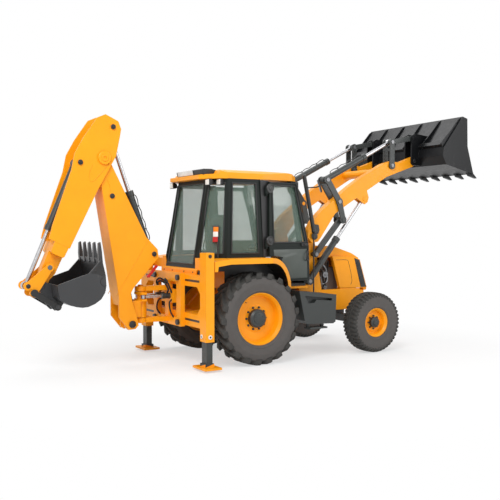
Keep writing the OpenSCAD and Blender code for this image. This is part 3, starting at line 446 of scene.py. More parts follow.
def rear_tyre(c):
    """A carcass with ribs on its side walls, and long lugs that lean from each shoulder to the middle."""
    b = Build()
    half = [(0.381, 0.150), (0.383, 0.176), (0.395, 0.190), (0.408, 0.197), (0.412, 0.202), (0.420, 0.202),
            (0.424, 0.199), (0.462, 0.2095), (0.505, 0.2135), (0.511, 0.2148), (0.519, 0.2146),
            (0.524, 0.2125), (0.566, 0.2095), (0.598, 0.196), (0.616, 0.172), (0.624, 0.08)]
    b.turned(mirrored(half), c, (0, 1, 0), 120)
    for side, shift in ((1, 0.0), (-1, 0.5)):
        for a in angles(REAR_LUGS, shift):
            bar_on_tread(b, c, [
                (a + 0.01, side * 0.2100, 0.582, 0.606, 0.040, 0.034),
                (a + 0.008, side * 0.2095, 0.588, 0.640, 0.046, 0.036),
                (a, side * 0.2040, 0.59, 0.658, 0.048, 0.037),
                (a - 0.02, side * 0.188, 0.60, 0.666, 0.048, 0.037),
                (a - 0.13, side * 0.110, 0.605, 0.6690, 0.043, 0.031),
                (a - 0.27, side * 0.020, 0.605, 0.6697, 0.038, 0.027),
                (a - 0.31, side * -0.012, 0.605, 0.6685, 0.032, 0.023)])
    return b


def front_tyre(c):
    """A carcass with short bars on its shoulders and two ribs round the middle."""
    b = Build()
    half = [(0.231, 0.112), (0.236, 0.134), (0.252, 0.1425), (0.262, 0.1455), (0.268, 0.143), (0.32, 0.1525),
            (0.38, 0.1548), (0.425, 0.149), (0.446, 0.136), (0.458, 0.112), (0.461, 0.06)]
    b.turned(mirrored(half), c, (0, 1, 0), 110)
    for side, shift in ((1, 0.0), (-1, 0.5)):
        for a in angles(FRONT_BARS, shift):
            bar_on_tread(b, c, [
                (a, side * 0.1545, 0.405, 0.410, 0.015, 0.012),
                (a, side * 0.1525, 0.42, 0.443, 0.019, 0.016),
                (a, side * 0.138, 0.435, 0.464, 0.020, 0.017),
                (a - 0.02, side * 0.105, 0.45, 0.4740, 0.020, 0.017),
                (a - 0.05, side * 0.045, 0.45, 0.4770, 0.020, 0.017)])
    for y in (-0.021, 0.021):
        rib = [(0.455, y - 0.017), (0.4772, y - 0.014), (0.4772, y + 0.014), (0.455, y + 0.017)]
        b.turned(rib, c, (0, 1, 0), 110)
    return b


def second_material(mesh, mat, c, radius, test):
    """Faces of a wheel's piece inside a radius, and passing the test, in a second material."""
    mesh.materials.append(MAT[mat])
    for p in mesh.polygons:
        d = p.center - c
        if math.hypot(d.x, d.z) < radius and test(d):
            p.material_index = 1


def nuts_on_wheel(c, s, spec):
    """Wheel nuts on the rim, and a capped hub with its own bolts."""
    b = Build()
    out = (0, s, 0)
    count, ring, size = spec["nuts"]
    for a in angles(count):
        b.nut(around(c, ring, a, s * RIM_FACE), out, size, 0.024)
    face = c + Vector((0, s * spec["face"], 0))
    b.disc(face, out, spec["hub"] * 0.62, 0.010, 28, 0.3)
    for a in angles(6, 0.5):
        b.nut(around(face, spec["hub"] * 0.48, a, s * 0.006), out, 0.008, 0.010)
    return b


def valve(c, s, spec, a=2.2):
    """A valve stem that stands out of the rim at an angle round it."""
    b = Build()
    low, high = around(c, spec["hub"] + 0.16, a, s * 0.03), around(c, spec["hub"] + 0.15, a, s * 0.075)
    b.tube([low, high], 0.006, 8)
    return b


for side, short, s in SIDES:
    for kind, tyre in (("rear", rear_tyre), ("front", front_tyre)):
        spec = WHEELS[kind]
        body = f"{kind}_wheel_{side}"
        c = Vector(JOINT_AT[body])
        obj = tyre(c).done(f"{kind}_tread_{short}", "rubber", body, "rubber", 0.004, 2)
        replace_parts(obj, f"{kind}_tyre_{short}")
        second_material(obj.data, "sidewall", c, spec["wall"], lambda d: True)
        # The hub in the middle of the rim is dark, and so is the ring of nuts round it
        second_material(nodes[f"{kind}_rim_{short}"].data, "dark", c, spec["hub"], lambda d: d.y * s > 0.046)
        nuts_on_wheel(c, s, spec).done(f"{kind}_nuts_{short}", "dark", body, "dark_paint", 0.0015, 1)
        valve(c, s, spec).done(f"{kind}_valve_{short}", "steel", body, "pin_steel", 0.001, 1)

# Cab: heights, then the feet and heads of its rear corners, rear pillars and door pillars as (x, y)
ROOF, FLOOR, WAIST, SILL = 2.69, 1.12, 1.545, 1.39
R0, R1 = (-0.760, 0.500), (-0.545, 0.475)
C0, C1 = (-0.410, 0.820), (-0.385, 0.820)
H0, H1 = (0.225, 0.820), (0.150, 0.820)
# The door's hinge edge, the angle at which its wall runs in towards the front, and the frame's thickness
DOOR = at(0.237, 0.832, 0)
DOOR_A = math.atan2(0.16, 0.9)
DOOR_T = 0.040
# The wheel arch's outer arc as (x, z) and radius, its outer edge, and how that edge runs in along x
FENDER, FENDER_R = (0.19, 1.054), 0.491
FENDER_Y, FENDER_TAPER = 1.11, 0.26 / 0.51


def wall_point(q, s, t, out, side):
    """A point on a cab wall: along s, up t, and out from it; q is two lower and two upper corners."""
    (a, za), (b, _), (c, zc), (d, _) = q
    low = Vector((a[0], a[1], za)).lerp(Vector((b[0], b[1], za)), s)
    high = Vector((c[0], c[1], zc)).lerp(Vector((d[0], d[1], zc)), s)
    n = Vector((a[1] - b[1], b[0] - a[0], 0)).normalized()
    p = low.lerp(high, t) + n * out
    return at(p.x, p.y * side, p.z)


REAR_Q = (((R0[0], -R0[1]), SILL), (R0, SILL), ((R1[0], -R1[1]), ROOF), (R1, ROOF))
QUARTER_Q = ((R0, WAIST), (C0, WAIST), (R1, ROOF), (C1, ROOF))
SIDE_Q = ((C0, WAIST), (H0, WAIST), (C1, ROOF), (H1, ROOF))


def seal(b, q, s0, s1, t0, t1, side, out=0.004, r=0.011):
    """A rubber seal round a window, with a bead at each corner."""
    loop = [(s0, t0), (s1, t0), (s1, t1), (s0, t1)]
    pts = [wall_point(q, s, t, out, side) for s, t in loop]
    for k in range(4):
        b.tube([pts[k], pts[(k + 1) % 4]], r, 8)
        b.turned([(0.0004, -r), (r, -r * 0.4), (r, r * 0.4), (0.0004, r)], pts[k], (0, 0, 1), 10)


b = Build()
seal(b, REAR_Q, 0.065, 0.935, 0.045, 0.955, 1)
for side in (1, -1):
    seal(b, QUARTER_Q, 0.13, 0.87, 0.055, 0.945, side)
    seal(b, SIDE_Q, 0.115, 0.845, 0.055, 0.945, side)
b.done("window_seals", "plastic", "chassis", "trim", 0)


def in_door(u, v, z, side):
    """A point measured along the door from its hinge, out from its inner face, and up."""
    p = DOOR + Matrix.Rotation(-DOOR_A, 3, "Z") @ Vector((u, v, 0))
    return Vector((p.x, p.y * side, z))


def arch_room(z):
    """How far from the hinge the door's skin starts at a height, to pass the arch's corner when it swings."""
    x = FENDER[0] + math.sqrt(FENDER_R ** 2 - (z - FENDER[1]) ** 2)
    hinge_x, hinge_y, _ = JOINT_AT["door_left"]
    corner = math.hypot(x - hinge_x + AXLE, FENDER_Y - FENDER_TAPER * (x - FENDER[0]) - hinge_y)
    return max(corner, 0.2325) + 0.012


def door_seals(s):
    """A seal round the pane and one along the door's free edges."""
    b = Build()
    window = [(0.09, 2.61), (0.56, 2.61), (0.80, 1.76), (0.13, 1.76)]
    pts = [in_door(u, DOOR_T + 0.003, z, s) for u, z in window]
    for k in range(4):
        b.tube([pts[k], pts[(k + 1) % 4]], 0.011, 8)
    edge = [(0.05, 2.65), (0.595, 2.65), (0.862, 1.70), (0.88, 1.175), (0.645, 1.175)]
    b.tube([in_door(u, DOOR_T + 0.001, z, s) for u, z in edge], 0.007, 8)
    return b


# Skin of the door's lower half: down along the wheel arch, over its top, and up to the window
SKIN_ARCH = [(arch_room(z), z) for z in (1.172, 1.24, 1.30, 1.36, 1.42, 1.47, 1.51)] + [(0.275, 1.556)]
SKIN_TOP = [(0.045, 1.690), (0.862, 1.690)]
SKIN = [(0.878, 1.172)] + SKIN_ARCH + [(0.045, 1.556)] + SKIN_TOP
# The raised panel has the skin's outline, higher over the arch and drawn in towards this middle
PANEL = [(0.878, 1.172)] + SKIN_ARCH + [(0.06, 1.582)] + SKIN_TOP
PANEL_MID, PANEL_SHARE = (0.56, 1.45), 0.86


def door_skin(s):
    b = Build()
    b.loft([[in_door(u, v, z, s) for u, z in SKIN] for v in (DOOR_T - 0.0005, DOOR_T + 0.006)])
    return b


def door_panel(s):
    b = Build()
    mid_u, mid_z = PANEL_MID
    rows = []
    for v, k in ((0.0055, 1.0), (0.009, 1.0), (0.0105, 0.985)):
        share = PANEL_SHARE * k
        rows.append([in_door(mid_u + (u - mid_u) * share, DOOR_T + v, mid_z + (z - mid_z) * share, s)
                     for u, z in PANEL])
    b.loft(rows)
    return b


def hinge_covers(s):
    """Round caps, dished and with a boss, over the two hinges."""
    b = Build()
    dish = [(0.0005, 0.0), (0.072, 0.0), (0.072, 0.014), (0.066, 0.022), (0.058, 0.022), (0.054, 0.018),
            (0.030, 0.018), (0.026, 0.026), (0.0005, 0.028)]
    out = in_door(0, 1, 0, s) - in_door(0, 0, 0, s)
    for z in (2.560, 1.790):
        b.turned(dish, in_door(0.048, 0.036, z, s), out, 36)
    return b


def hinge_strip(s):
    """A strip behind the hinge edge, wider at its foot, that closes the gap to the pillar."""
    b = Build()
    foot, inner, outer = 1.549, -0.018, -0.007
    strip = ((foot, -0.030, 0.066), (2.675, -0.098, 0.066))
    wide_foot = ((foot, 0.060, 0.120), (1.600, 0.060, 0.120))
    for rows in (strip, wide_foot):
        b.loft([[in_door(u, v, z, s) for u, v in ((u0, inner), (u1, inner), (u1, outer), (u0, outer))]
                for z, u0, u1 in rows])
    return b


def door_handle(s):
    """A stepped latch and a bowed grab handle below it."""
    b = Build()
    for u0, u1, z, h, out in ((0.70, 0.83, 1.70, 0.045, 0.022), (0.735, 0.80, 1.712, 0.022, 0.045)):
        corners = ((u0, DOOR_T), (u1, DOOR_T), (u1, DOOR_T + out), (u0, DOOR_T + out))
        ring = [in_door(u, v, z, s) for u, v in corners]
        b.loft([ring, [p + Vector((0, 0, h)) for p in ring]])
    bow = [(0.862, 0.045, 1.655), (0.80, 0.075, 1.60), (0.775, 0.085, 1.53), (0.80, 0.078, 1.485),
           (0.868, 0.045, 1.49)]
    b.tube(curve([in_door(u, v, z, s) for u, v, z in bow], 6), 0.011, 8)
    return b


# Lamp clusters on the quarter pillars: amber, clear and red, as shares of the window's width and height
CLUSTER_S = 0.62
STEM_X, STEM_Y, STEM_TOP = -0.5225, 0.7565, 1.80
CLUSTER = (("amber", 0.36), ("lens", 0.30), ("red", 0.235))
LENS_SHAPE = ((-1, -0.012), (1, -0.012), (1, 0.006), (0.6, 0.014), (-0.6, 0.014), (-1, 0.006))


def on_quarter(t, out, s):
    """A point of the cluster out from the quarter window, with the directions along it and out of it."""
    here = wall_point(QUARTER_Q, CLUSTER_S, t, out, s)
    along_wall = wall_point(QUARTER_Q, CLUSTER_S + 0.1, t, out, s) - here
    off_wall = wall_point(QUARTER_Q, CLUSTER_S, t, out + 0.03, s) - here
    return here, along_wall.normalized(), off_wall.normalized()


def upright(b, here, u, n, shape, half):
    """A shape of (along, out) drawn up and down from a point."""
    b.loft([[here + u * p + n * o + Vector((0, 0, z)) for p, o in shape] for z in (-half, half)])


def lamp_cluster(s, short):
    """Three lenses on one base, with the stem that carries it."""
    for mat, t in CLUSTER:
        b = Build()
        here, u, n = on_quarter(t, 0.055, s)
        upright(b, here, u * 0.038, n, LENS_SHAPE, 0.036)
        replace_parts(b.done(f"lamp_{mat}_{short}", mat, "chassis", "lens", 0.005, 3), "lamps")
    b = Build()
    here, u, n = on_quarter(0.298, 0.020, s)
    upright(b, here, u, n, ((-0.045, 0), (0.045, 0), (0.045, 0.03), (-0.045, 0.03)), 0.125)
    b.tube([at(STEM_X, s * STEM_Y, z) for z in (WAIST, STEM_TOP)], 0.012, 10)
    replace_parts(b.done(f"lamp_base_{short}", "plastic", "chassis", "trim", 0.006), "lamps")


for side, short, s in SIDES:
    body = f"door_{side}"
    door_seals(s).done(f"door_seals_{short}", "plastic", body, "trim", 0.002)
    door_skin(s).done(f"door_skin_{short}", "pillar", body, "dark_paint", 0.002, 2)
    door_panel(s).done(f"door_panel_{short}", "panel", body, "dark_paint", 0.002, 2)
    hinge_covers(s).done(f"hinge_covers_{short}", "black", body, "black_paint", 0.002)
    hinge_strip(s).done(f"hinge_strip_{short}", "plastic", "chassis", "trim", 0.002)
    door_handle(s).done(f"door_handle_{short}", "plastic", body, "trim", 0.004)
    lamp_cluster(s, short)

# Roof: a dark housing on the low rear edge carries a blank plate
b = Build()
housing = [(-0.655, 2.752), (-0.674, 2.826), (-0.640, 2.836), (-0.520, 2.838), (-0.440, 2.822),
           (-0.440, 2.752)]
b.plate(housing, -0.56, 0.30)
b.done("roof_housing", "plastic", "chassis", "trim", 0.012, 3)
b = Build()
b.plate([(-0.660, 2.760), (-0.667, 2.759), (-0.684, 2.828), (-0.677, 2.829)], -0.255, 0.245)
b.done("blank_plate", "white", "chassis", "trim", 0.003)

# Work lamps under the roof: name, x, y and the way each faces
WORK_LAMP_Z = 2.640
WORK_LAMPS = (("a", -0.60, 0.60, -1), ("b", -0.60, -0.60, -1), ("c", -0.47, -0.70, -1),
              ("d", 0.935, 0.60, 1), ("e", 0.935, -0.60, 1))


def lamp_box(b, c, face, w, h, steps):
    """A box that faces along x, through steps of (place along x, share of its half width and height)."""
    corners = ((-w, -h), (w, -h), (w, h), (-w, h))
    b.loft([[c + Vector((face * o, y * k, z * k)) for y, z in corners] for o, k in steps])


for name, x, y, face in WORK_LAMPS:
    c = at(x, y, WORK_LAMP_Z)
    b = Build()
    lamp_box(b, c, face, 0.06, 0.045, ((-0.075, 0.55), (-0.04, 0.9), (0.0, 1.0), (0.012, 1.0)))
    b.tube([c + Vector((-0.03 * face, 0, z)) for z in (0.03, 0.075)], 0.012, 8)
    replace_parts(b.done(f"work_lamp_{name}", "plastic", "chassis", "trim", 0.006), "lamps")
    b = Build()
    lamp_box(b, c, face, 0.054, 0.039, ((0.010, 1.0), (0.016, 0.98), (0.020, 0.8)))
    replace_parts(b.done(f"work_lens_{name}", "lens", "chassis", "lens", 0.004), "lamps")

# Mirrors: heads turned in to the driver and down, on thin arms
MIRROR_X, MIRROR_Y, MIRROR_Z, MIRROR_ARM_Z = 1.0937, 1.0, 2.61, 2.60
MIRROR_W, MIRROR_H = 0.073, 0.098
MIRROR_TURN, MIRROR_DIP = math.radians(57), math.radians(18)
# Steps through the head and its glass: place along the facing, and share of the full outline
MIRROR_HEAD = ((-0.020, 0.70), (-0.014, 0.93), (-0.004, 1.0), (0.006, 1.0), (0.009, 0.97))
MIRROR_FACE = ((0.006, 0.92), (0.0095, 0.92), (0.0100, 0.90))
# Where each arm starts and bends on its way to the head, as (x, y)
MIRROR_ROOT = {"l": ((0.868, 0.704), (1.06, 0.704), (1.09, 0.73)), "r": ((MIRROR_X, -0.70), )}

for _, short, s in SIDES:
    c = at(MIRROR_X, s * MIRROR_Y, MIRROR_Z)
    u = Vector((math.cos(MIRROR_TURN), -s * math.sin(MIRROR_TURN), 0))
    n = Vector((-math.sin(MIRROR_TURN), -s * math.cos(MIRROR_TURN), 0))
    up = n * math.sin(MIRROR_DIP) + Vector((0, 0, math.cos(MIRROR_DIP)))
    face = n * math.cos(MIRROR_DIP) - Vector((0, 0, math.sin(MIRROR_DIP)))
    rim = [(bend(math.cos(a), 0.35) * MIRROR_W, bend(math.sin(a), 0.35) * MIRROR_H) for a in angles(32, 0.5)]
    head, glass_face = Build(), Build()
    for b, steps in ((head, MIRROR_HEAD), (glass_face, MIRROR_FACE)):
        b.loft([[c + u * (p * k) + up * (q * k) + face * o for p, q in rim] for o, k in steps])
    arm = [at(x, y, MIRROR_ARM_Z) for x, y in MIRROR_ROOT[short]]
    head.tube(arm + [at(MIRROR_X, s * (MIRROR_Y - 0.07), MIRROR_ARM_Z), c - face * 0.012], 0.010, 10)
    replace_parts(head.done(f"mirror_head_{short}", "plastic", "chassis", "trim", 0), "mirrors")
    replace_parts(glass_face.done(f"mirror_face_{short}", "chrome", "chassis", "pin_steel", 0), "mirrors")


# Inside the cab: seat, steering, levers


def pillow(b, place, size, channels, rings=25, full=0.42):
    """A crowned cushion with sewn channels across it."""
    rows = []
    for i in range(rings):
        t = -1 + 2 * (i + 0.02) / (rings - 0.96)
        k = (1 - abs(t) ** 5) ** 0.2
        dip = 1 - sum(0.10 * math.exp(-((t - c) / 0.05) ** 2) for c in channels)
        ring = []
        for a in angles(36):
            w, h = bend(math.cos(a), full), bend(math.sin(a), full)
            crown = 1 + 0.10 * (1 - w * w) * (1 - t * t) if h > 0 else 1.0
            ring.append(place @ Vector((size[0] * t, size[1] * w * k, size[2] * h * k * dip * crown)))
        rows.append(ring)
    b.loft(rows)


# Levers on the console behind the seat: two long ones beside three short ones
LONG_LEVERS, SHORT_LEVERS = (-0.19, 0.19), (-0.08, 0.0, 0.08)
CONSOLE_X, CONSOLE_TOP = -0.26, 1.63
LONG_X, LONG_Z, LONG_SPREAD = -0.22, 1.84, 1.02
SHORT_X, SHORT_Z = -0.25, 1.70
# The steering column stands on the floor and leans back towards the seat
COLUMN_X, COLUMN_LEAN, COLUMN_H = 0.90, math.radians(-25), 0.64
WHEEL_R, WHEEL_GRIP = 0.188, 0.015
column = Matrix.Translation(at(COLUMN_X, 0, FLOOR)) @ Matrix.Rotation(COLUMN_LEAN, 4, "Y")
column_axis = column.to_3x3() @ Vector((0, 0, 1))


def seat_cushion():
    b = Build()
    pillow(b, Matrix.Translation(at(0.20, 0, 1.475)), (0.235, 0.235, 0.062), (-0.35, 0.25))
    return b


def seat_back():
    b = Build()
    recline = Matrix.Translation(at(-0.045, 0, 1.86)) @ Matrix.Rotation(math.radians(-98.5), 4, "Y")
    pillow(b, recline, (0.325, 0.232, 0.050), (-0.45, 0.1, 0.55))
    return b


def cab_controls():
    """The seat's base with its bellows, the console with its levers, and the steering column."""
    b = Build()
    b.box(at(0.0, -0.20, FLOOR), at(0.40, 0.20, 1.20))
    b.box(at(0.02, -0.18, 1.20), at(0.38, 0.18, 1.36))
    for k in range(5):
        b.box(at(0.012, -0.19, 1.215 + 0.028 * k), at(0.388, 0.19, 1.230 + 0.028 * k))
    b.box(at(-0.01, -0.22, 1.36), at(0.42, 0.22, 1.415))
    b.box(at(-0.325, -0.25, 1.372), at(-0.205, 0.25, 1.60))
    b.box(at(-0.318, -0.235, 1.60), at(-0.212, 0.235, 1.635))
    for y in LONG_LEVERS:
        stem = [at(CONSOLE_X, y, CONSOLE_TOP), at(-0.255, y, 1.72), at(LONG_X, y * LONG_SPREAD, LONG_Z)]
        b.tube(curve(stem, 6), 0.011, 8)
    for y in SHORT_LEVERS:
        b.tube([at(CONSOLE_X, y, CONSOLE_TOP), at(SHORT_X, y, SHORT_Z)], 0.007, 8)
    post = [(0.0005, 0.022), (0.075, 0.022), (0.055, 0.06), (0.043, 0.10), (0.040, 0.58), (0.060, 0.62),
            (0.0005, 0.63)]
    b.turned(post, column.translation, column_axis, 24)
    b.box(at(COLUMN_X - 0.055, -0.09, FLOOR), at(COLUMN_X + 0.055, 0.09, FLOOR + 0.045))
    return b


def steering_wheel():
    """A ring on three spokes, with a spinner knob."""
    b = Build()
    turn = column.to_3x3()
    hub = column @ Vector((0, 0, COLUMN_H))
    grip = [(WHEEL_R + WHEEL_GRIP * math.cos(a), WHEEL_GRIP * math.sin(a)) for a in angles(10)]
    b.turned(grip, hub, column_axis, 40)
    b.disc(hub - column_axis * 0.012, column_axis, 0.045, 0.03, 24, 0.3)
    for a in angles(3):
        d = turn @ Vector((math.cos(a + 0.5), math.sin(a + 0.5), 0))
        b.tube([hub + d * 0.03, hub + d * 0.18], 0.010, 8)
    b.disc(hub + turn @ Vector((-0.186, 0, 0.012)), column_axis, 0.016, 0.045, 14, 0.5)
    return b


def lever_knobs():
    b = Build()
    long_knob = [(0.0005, -0.01), (0.016, -0.006), (0.022, 0.015), (0.020, 0.04), (0.0005, 0.055)]
    short_knob = [(0.0005, -0.006), (0.010, 0), (0.012, 0.015), (0.0005, 0.024)]
    for y in LONG_LEVERS:
        b.turned(long_knob, at(LONG_X, y * LONG_SPREAD, LONG_Z + 0.01), (0.25, 0, 1), 16)
    for y in SHORT_LEVERS:
        b.turned(short_knob, at(SHORT_X, y, SHORT_Z), (0.1, 0, 1), 12)
    return b


cushion = seat_cushion().done("seat_cushion", "seat", "chassis", "trim", 0)
backrest = seat_back().done("seat_back", "seat", "chassis", "trim", 0)
controls = cab_controls().done("cab_controls", "plastic", "chassis", "trim", 0.006)
steering = steering_wheel().done("steering_wheel", "plastic", "chassis", "trim", 0.002)
knobs = lever_knobs().done("lever_knobs", "black", "chassis", "trim", 0)
for piece in (cushion, backrest, controls, steering, knobs):
    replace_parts(piece, "cab_interior")

# Pins and wear pads. Eyes of the rams' rods, and the pin from the tipping levers to their links, as (x, z)
BOOM_EYE, DIPPER_EYE, CURL_EYE = (-1.8922, 2.4272), (-1.8876, 3.389), (-3.0626, 1.2037)
LIFT_EYE, CURL_LINK = (2.3434, 2.4525), (-2.9836, 1.1087)
TILT_EYE = pin("link_pin_level")
# The stabiliser legs' housings: middle, outer and inner faces, wear pads' height and the ram's pin
LEG_X, LEG_OUT, LEG_IN, WEAR_Z, LEG_PIN_Z = -0.845, 1.12, 0.94, 0.475, 1.588


def cap(b, place, y, r, h=0.012):
    """A retained pin end on an outer face, with its bolt."""
    s = math.copysign(1, y)
    c = at(place[0], y, place[1])
    b.disc(c, (0, s, 0), r, h, 28, 0.25)
    b.nut(c + Vector((0, s * h, 0)), (0, s, 0), r * 0.42, 0.010)


def washer(b, c, axis, r):
    b.turned([(r * 0.45, 0), (r, 0), (r, 0.006), (r * 0.93, 0.010), (r * 0.45, 0.010)], c, axis, 28)


rings, bolts = Build(), Build()
foot_caps, boom_caps, dipper_caps, lever_caps, boss = Build(), Build(), Build(), Build(), Build()
for _, _, s in SIDES:
    out = (0, s, 0)
    # Wear pads low on three faces of each leg's housing, and the ram's pin near its top
    for x, y, axis in ((LEG_X, LEG_OUT, out), (-0.91, 0.995, (-1, 0, 0)), (-0.78, 1.03, (1, 0, 0))):
        c = at(x, s * y, WEAR_Z)
        washer(rings, c, axis, 0.030)
        bolts.nut(c, axis, 0.012, 0.012)
    bolts.nut(at(LEG_X, s * LEG_OUT, LEG_PIN_Z), out, 0.020, 0.012)
    bolts.nut(at(LEG_X, s * LEG_IN, LEG_PIN_Z), (0, -s, 0), 0.020, 0.012)
    cap(foot_caps, pin("boom_swing"), s * 0.184, 0.052)
    cap(boom_caps, BOOM_EYE, s * 0.176, 0.036)
    cap(boom_caps, pin("dipper_ram_swing"), s * 0.180, 0.036)
    cap(dipper_caps, DIPPER_EYE, s * 0.216, 0.036)
    cap(dipper_caps, pin("curl_ram_swing"), s * 0.214, 0.036)
    cap(lever_caps, CURL_EYE, s * 0.150, 0.030, 0.008)
    cap(lever_caps, CURL_LINK, s * 0.146, 0.030, 0.006)
    # A raised boss round the pin between boom and dipper
    x, z = pin("dipper_swing")
    boss.disc(at(x, s * 0.206, z), out, 0.095, 0.030, 36, 0.25)
    washer(boss, at(x, s * 0.236, z), out, 0.050)
rings.done("wear_pad_rings", "white", "chassis", "trim", 0.001, 1)
bolts.done("wear_pad_bolts", "black", "chassis", "black_paint", 0.001, 1)
foot_caps.done("boom_foot_caps", "black", "kingpost", "black_paint", 0.002, 2)
boom_caps.done("boom_caps", "black", "boom", "black_paint", 0.002, 2)
dipper_caps.done("dipper_caps", "black", "dipper", "black_paint", 0.002, 2)
boss.done("dipper_boss", "yellow", "dipper", "painted", 0.004, 2)
lever_caps.done("lever_caps", "black", "curl_levers", "black_paint", 0.002, 2)

# Pipes along the rams, held by clamps
ARM_Y = 0.5
PIPE_WAVES, PIPE_CLAMPS = 8, (2, 6)


def along(p, q, t, off, y):
    """A point beside the line of a ram: share t of its length, off to its left."""
    dx, dz = q[0] - p[0], q[1] - p[1]
    n = math.hypot(dx, dz)
    return at(p[0] + dx * t - dz / n * off, y, p[1] + dz * t + dx / n * off)


def ram_pipe(name, body, p, q, t1, off, y, t0=0.10):
    """A wavy pipe beside a ram's tube, from one share of the ram's length to another."""
    b = Build()
    side = math.copysign(1, off)
    step = (t1 - t0) / PIPE_WAVES
    run = [along(p, q, t0, off - side * 0.035, y), along(p, q, t0 + 0.01, off, y)]
    for k in range(1, PIPE_WAVES):
        run.append(along(p, q, t0 + step * k, off + side * (0.010 if k % 2 else -0.004), y))
    run += [along(p, q, t1 - 0.01, off, y), along(p, q, t1, off - side * 0.035, y)]
    b.tube(curve(run, 5), 0.007, 8)
    for k in PIPE_CLAMPS:
        t = t0 + step * k
        b.tube([along(p, q, t, off - side * 0.03, y), along(p, q, t, off + side * 0.008, y)], 0.008, 6)
    b.done(name, "black", body, "black_paint", 0.001, 1)


ram_pipe("dipper_ram_pipe", "dipper_barrel", pin("dipper_ram_swing"), DIPPER_EYE, 0.47, -0.080, 0.0)
ram_pipe("bucket_ram_pipe", "curl_barrel", pin("curl_ram_swing"), CURL_EYE, 0.52, 0.075, 0.0)
for _, short, s in SIDES:
    ram_pipe(f"tilt_ram_pipe_{short}", "tilt_barrels", pin("tilt_ram_swing"), TILT_EYE, 0.56, 0.070,
             s * ARM_Y)
    ram_pipe(f"lift_ram_pipe_{short}", "lift_barrels", pin("lift_ram_swing"), LIFT_EYE, 0.48, 0.046,
             s * (ARM_Y + 0.049))


def near(c, joints, r):
    """Whether a place lies round one of the joints, seen from the side."""
    return any(math.hypot(c.x - pin(j)[0], c.z - pin(j)[1]) < r for j in joints)


# Pin ends of steel in pieces of another colour
TOWER_PINS = ("loader_lift", "level_link_swing", "lift_ram_swing")
repaint("main_frame", "steel", lambda c, n: abs(c.y) > 0.43 and near(c, TOWER_PINS, 0.06))
repaint("loader_arms", "steel", lambda c, n: abs(c.y) > 0.575 and c.x < 2.2)
repaint("kingpost", "steel", lambda c, n: abs(c.y) > 0.168)
repaint("dipper", "steel", lambda c, n: 0.1 < abs(c.y) < 0.16 and near(c, ("curl_lever_swing", ), 0.05))

# Front: the bonnet's grille strips, black lines of painted shade for its grooves, the flange under it, the
# engine's sides, the arms' pivots
GRILLE_BARS = 19
# Runs on the engine's sides, as points of (x, distance from the middle, z) and a radius
ENGINE_PIPES = (([(1.60, 0.30, 1.40), (1.66, 0.325, 1.38), (1.72, 0.33, 1.31), (1.74, 0.325, 1.22)], 0.018),
                ([(1.60, 0.29, 1.08), (1.66, 0.32, 1.06), (1.75, 0.32, 1.10), (1.78, 0.30, 1.20),
                  (1.79, 0.27, 1.34)], 0.014),
                ([(1.58, 0.30, 1.20), (1.62, 0.33, 1.16), (1.64, 0.33, 1.02), (1.63, 0.30, 0.99)], 0.012))
ENGINE_HOSES = (([(1.80, 0.285, 1.42), (1.78, 0.31, 1.33), (1.72, 0.335, 1.12), (1.68, 0.31, 1.0)], 0.011),
                ([(1.60, 0.30, 1.33), (1.65, 0.335, 1.27), (1.68, 0.335, 1.10), (1.76, 0.30, 1.02)], 0.010))
# Pulleys there, as (x, distance from the middle, z, radius)
ENGINE_PULLEYS = ((1.70, 0.334, 1.215, 0.050), (1.73, 0.292, 1.01, 0.040))


def grille_strip(s):
    """A slanting plate along the bonnet's front edge, with bars across it."""
    b = Build()
    b.plate([(2.288, 1.476), (2.394, 1.443), (2.546, 0.985), (2.428, 0.985)], s * 0.3695, s * 0.374)
    for k in range(GRILLE_BARS):
        t = (k + 0.6) / (GRILLE_BARS + 0.4)
        z = 1.440 - 0.440 * t
        x0, x1 = 2.304 + 0.127 * t, 2.392 + 0.146 * t
        b.plate([(x0, z - 0.006), (x1, z - 0.008), (x1, z + 0.001), (x0, z + 0.003)], s * 0.373, s * 0.381)
    return b


# Painted shade: a thin black tube along the bonnet's side stands for the shade in its groove
def bonnet_groove_shade(s):
    b = Build()
    groove = [(1.905, 1.452), (2.05, 1.452), (2.135, 1.446), (2.160, 1.425), (2.195, 1.315), (2.225, 1.20),
              (2.240, 1.11), (2.232, 1.06), (2.213, 1.037)]
    b.tube(curve([at(x, s * 0.3705, z) for x, z in groove], 4), 0.0035, 6)
    return b


def bonnet_flange(s):
    """A lip on the rail under the bonnet's edge, and the upright plate behind it."""
    b = Build()
    lip = [(2.000, 0.966), (2.000, 0.983), (2.20, 0.9775), (2.415, 0.9695), (2.415, 0.940), (2.33, 0.958),
           (2.30, 0.966)]
    b.plate(lip, s * 0.340, s * 0.362)
    b.plate([(2.000, 0.93), (2.000, 1.02), (2.390, 1.02), (2.390, 0.93)], s * 0.286, s * 0.2995)
    return b


def bent_runs(routes, sides, signs):
    """Bent pipes or hoses, on the left for a sign of 1 and on the right for -1."""
    b = Build()
    for s in signs:
        for points, r in routes:
            b.tube(curve([at(x, s * y, z) for x, y, z in points], 8), r, sides)
    return b


def engine_pulleys(s):
    b = Build()
    for x, y, z, r in ENGINE_PULLEYS:
        c = at(x, s * y, z)
        rim = [(0.0005, 0), (r, 0), (r, 0.004), (r * 0.86, 0.010), (r, 0.016), (r, 0.020), (0.0005, 0.020)]
        b.turned(rim, c, (0, s, 0), 28)
        b.nut(c + Vector((0, s * 0.02, 0)), (0, s, 0), 0.014, 0.010)
    return b


def arm_pivot_cover(s):
    b = Build()
    cover = [(1.255, 2.040), (1.385, 2.030), (1.402, 1.950), (1.378, 1.885), (1.300, 1.880)]
    b.plate(cover, s * 0.561, s * 0.600)
    return b


def arm_pivot_cap(s):
    b = Build()
    x, z = pin("loader_lift")
    b.disc(at(x, s * 0.580, z), (0, s, 0), 0.058, 0.012, 32, 0.2)
    b.nut(at(x, s * 0.592, z), (0, s, 0), 0.022, 0.012)
    return b


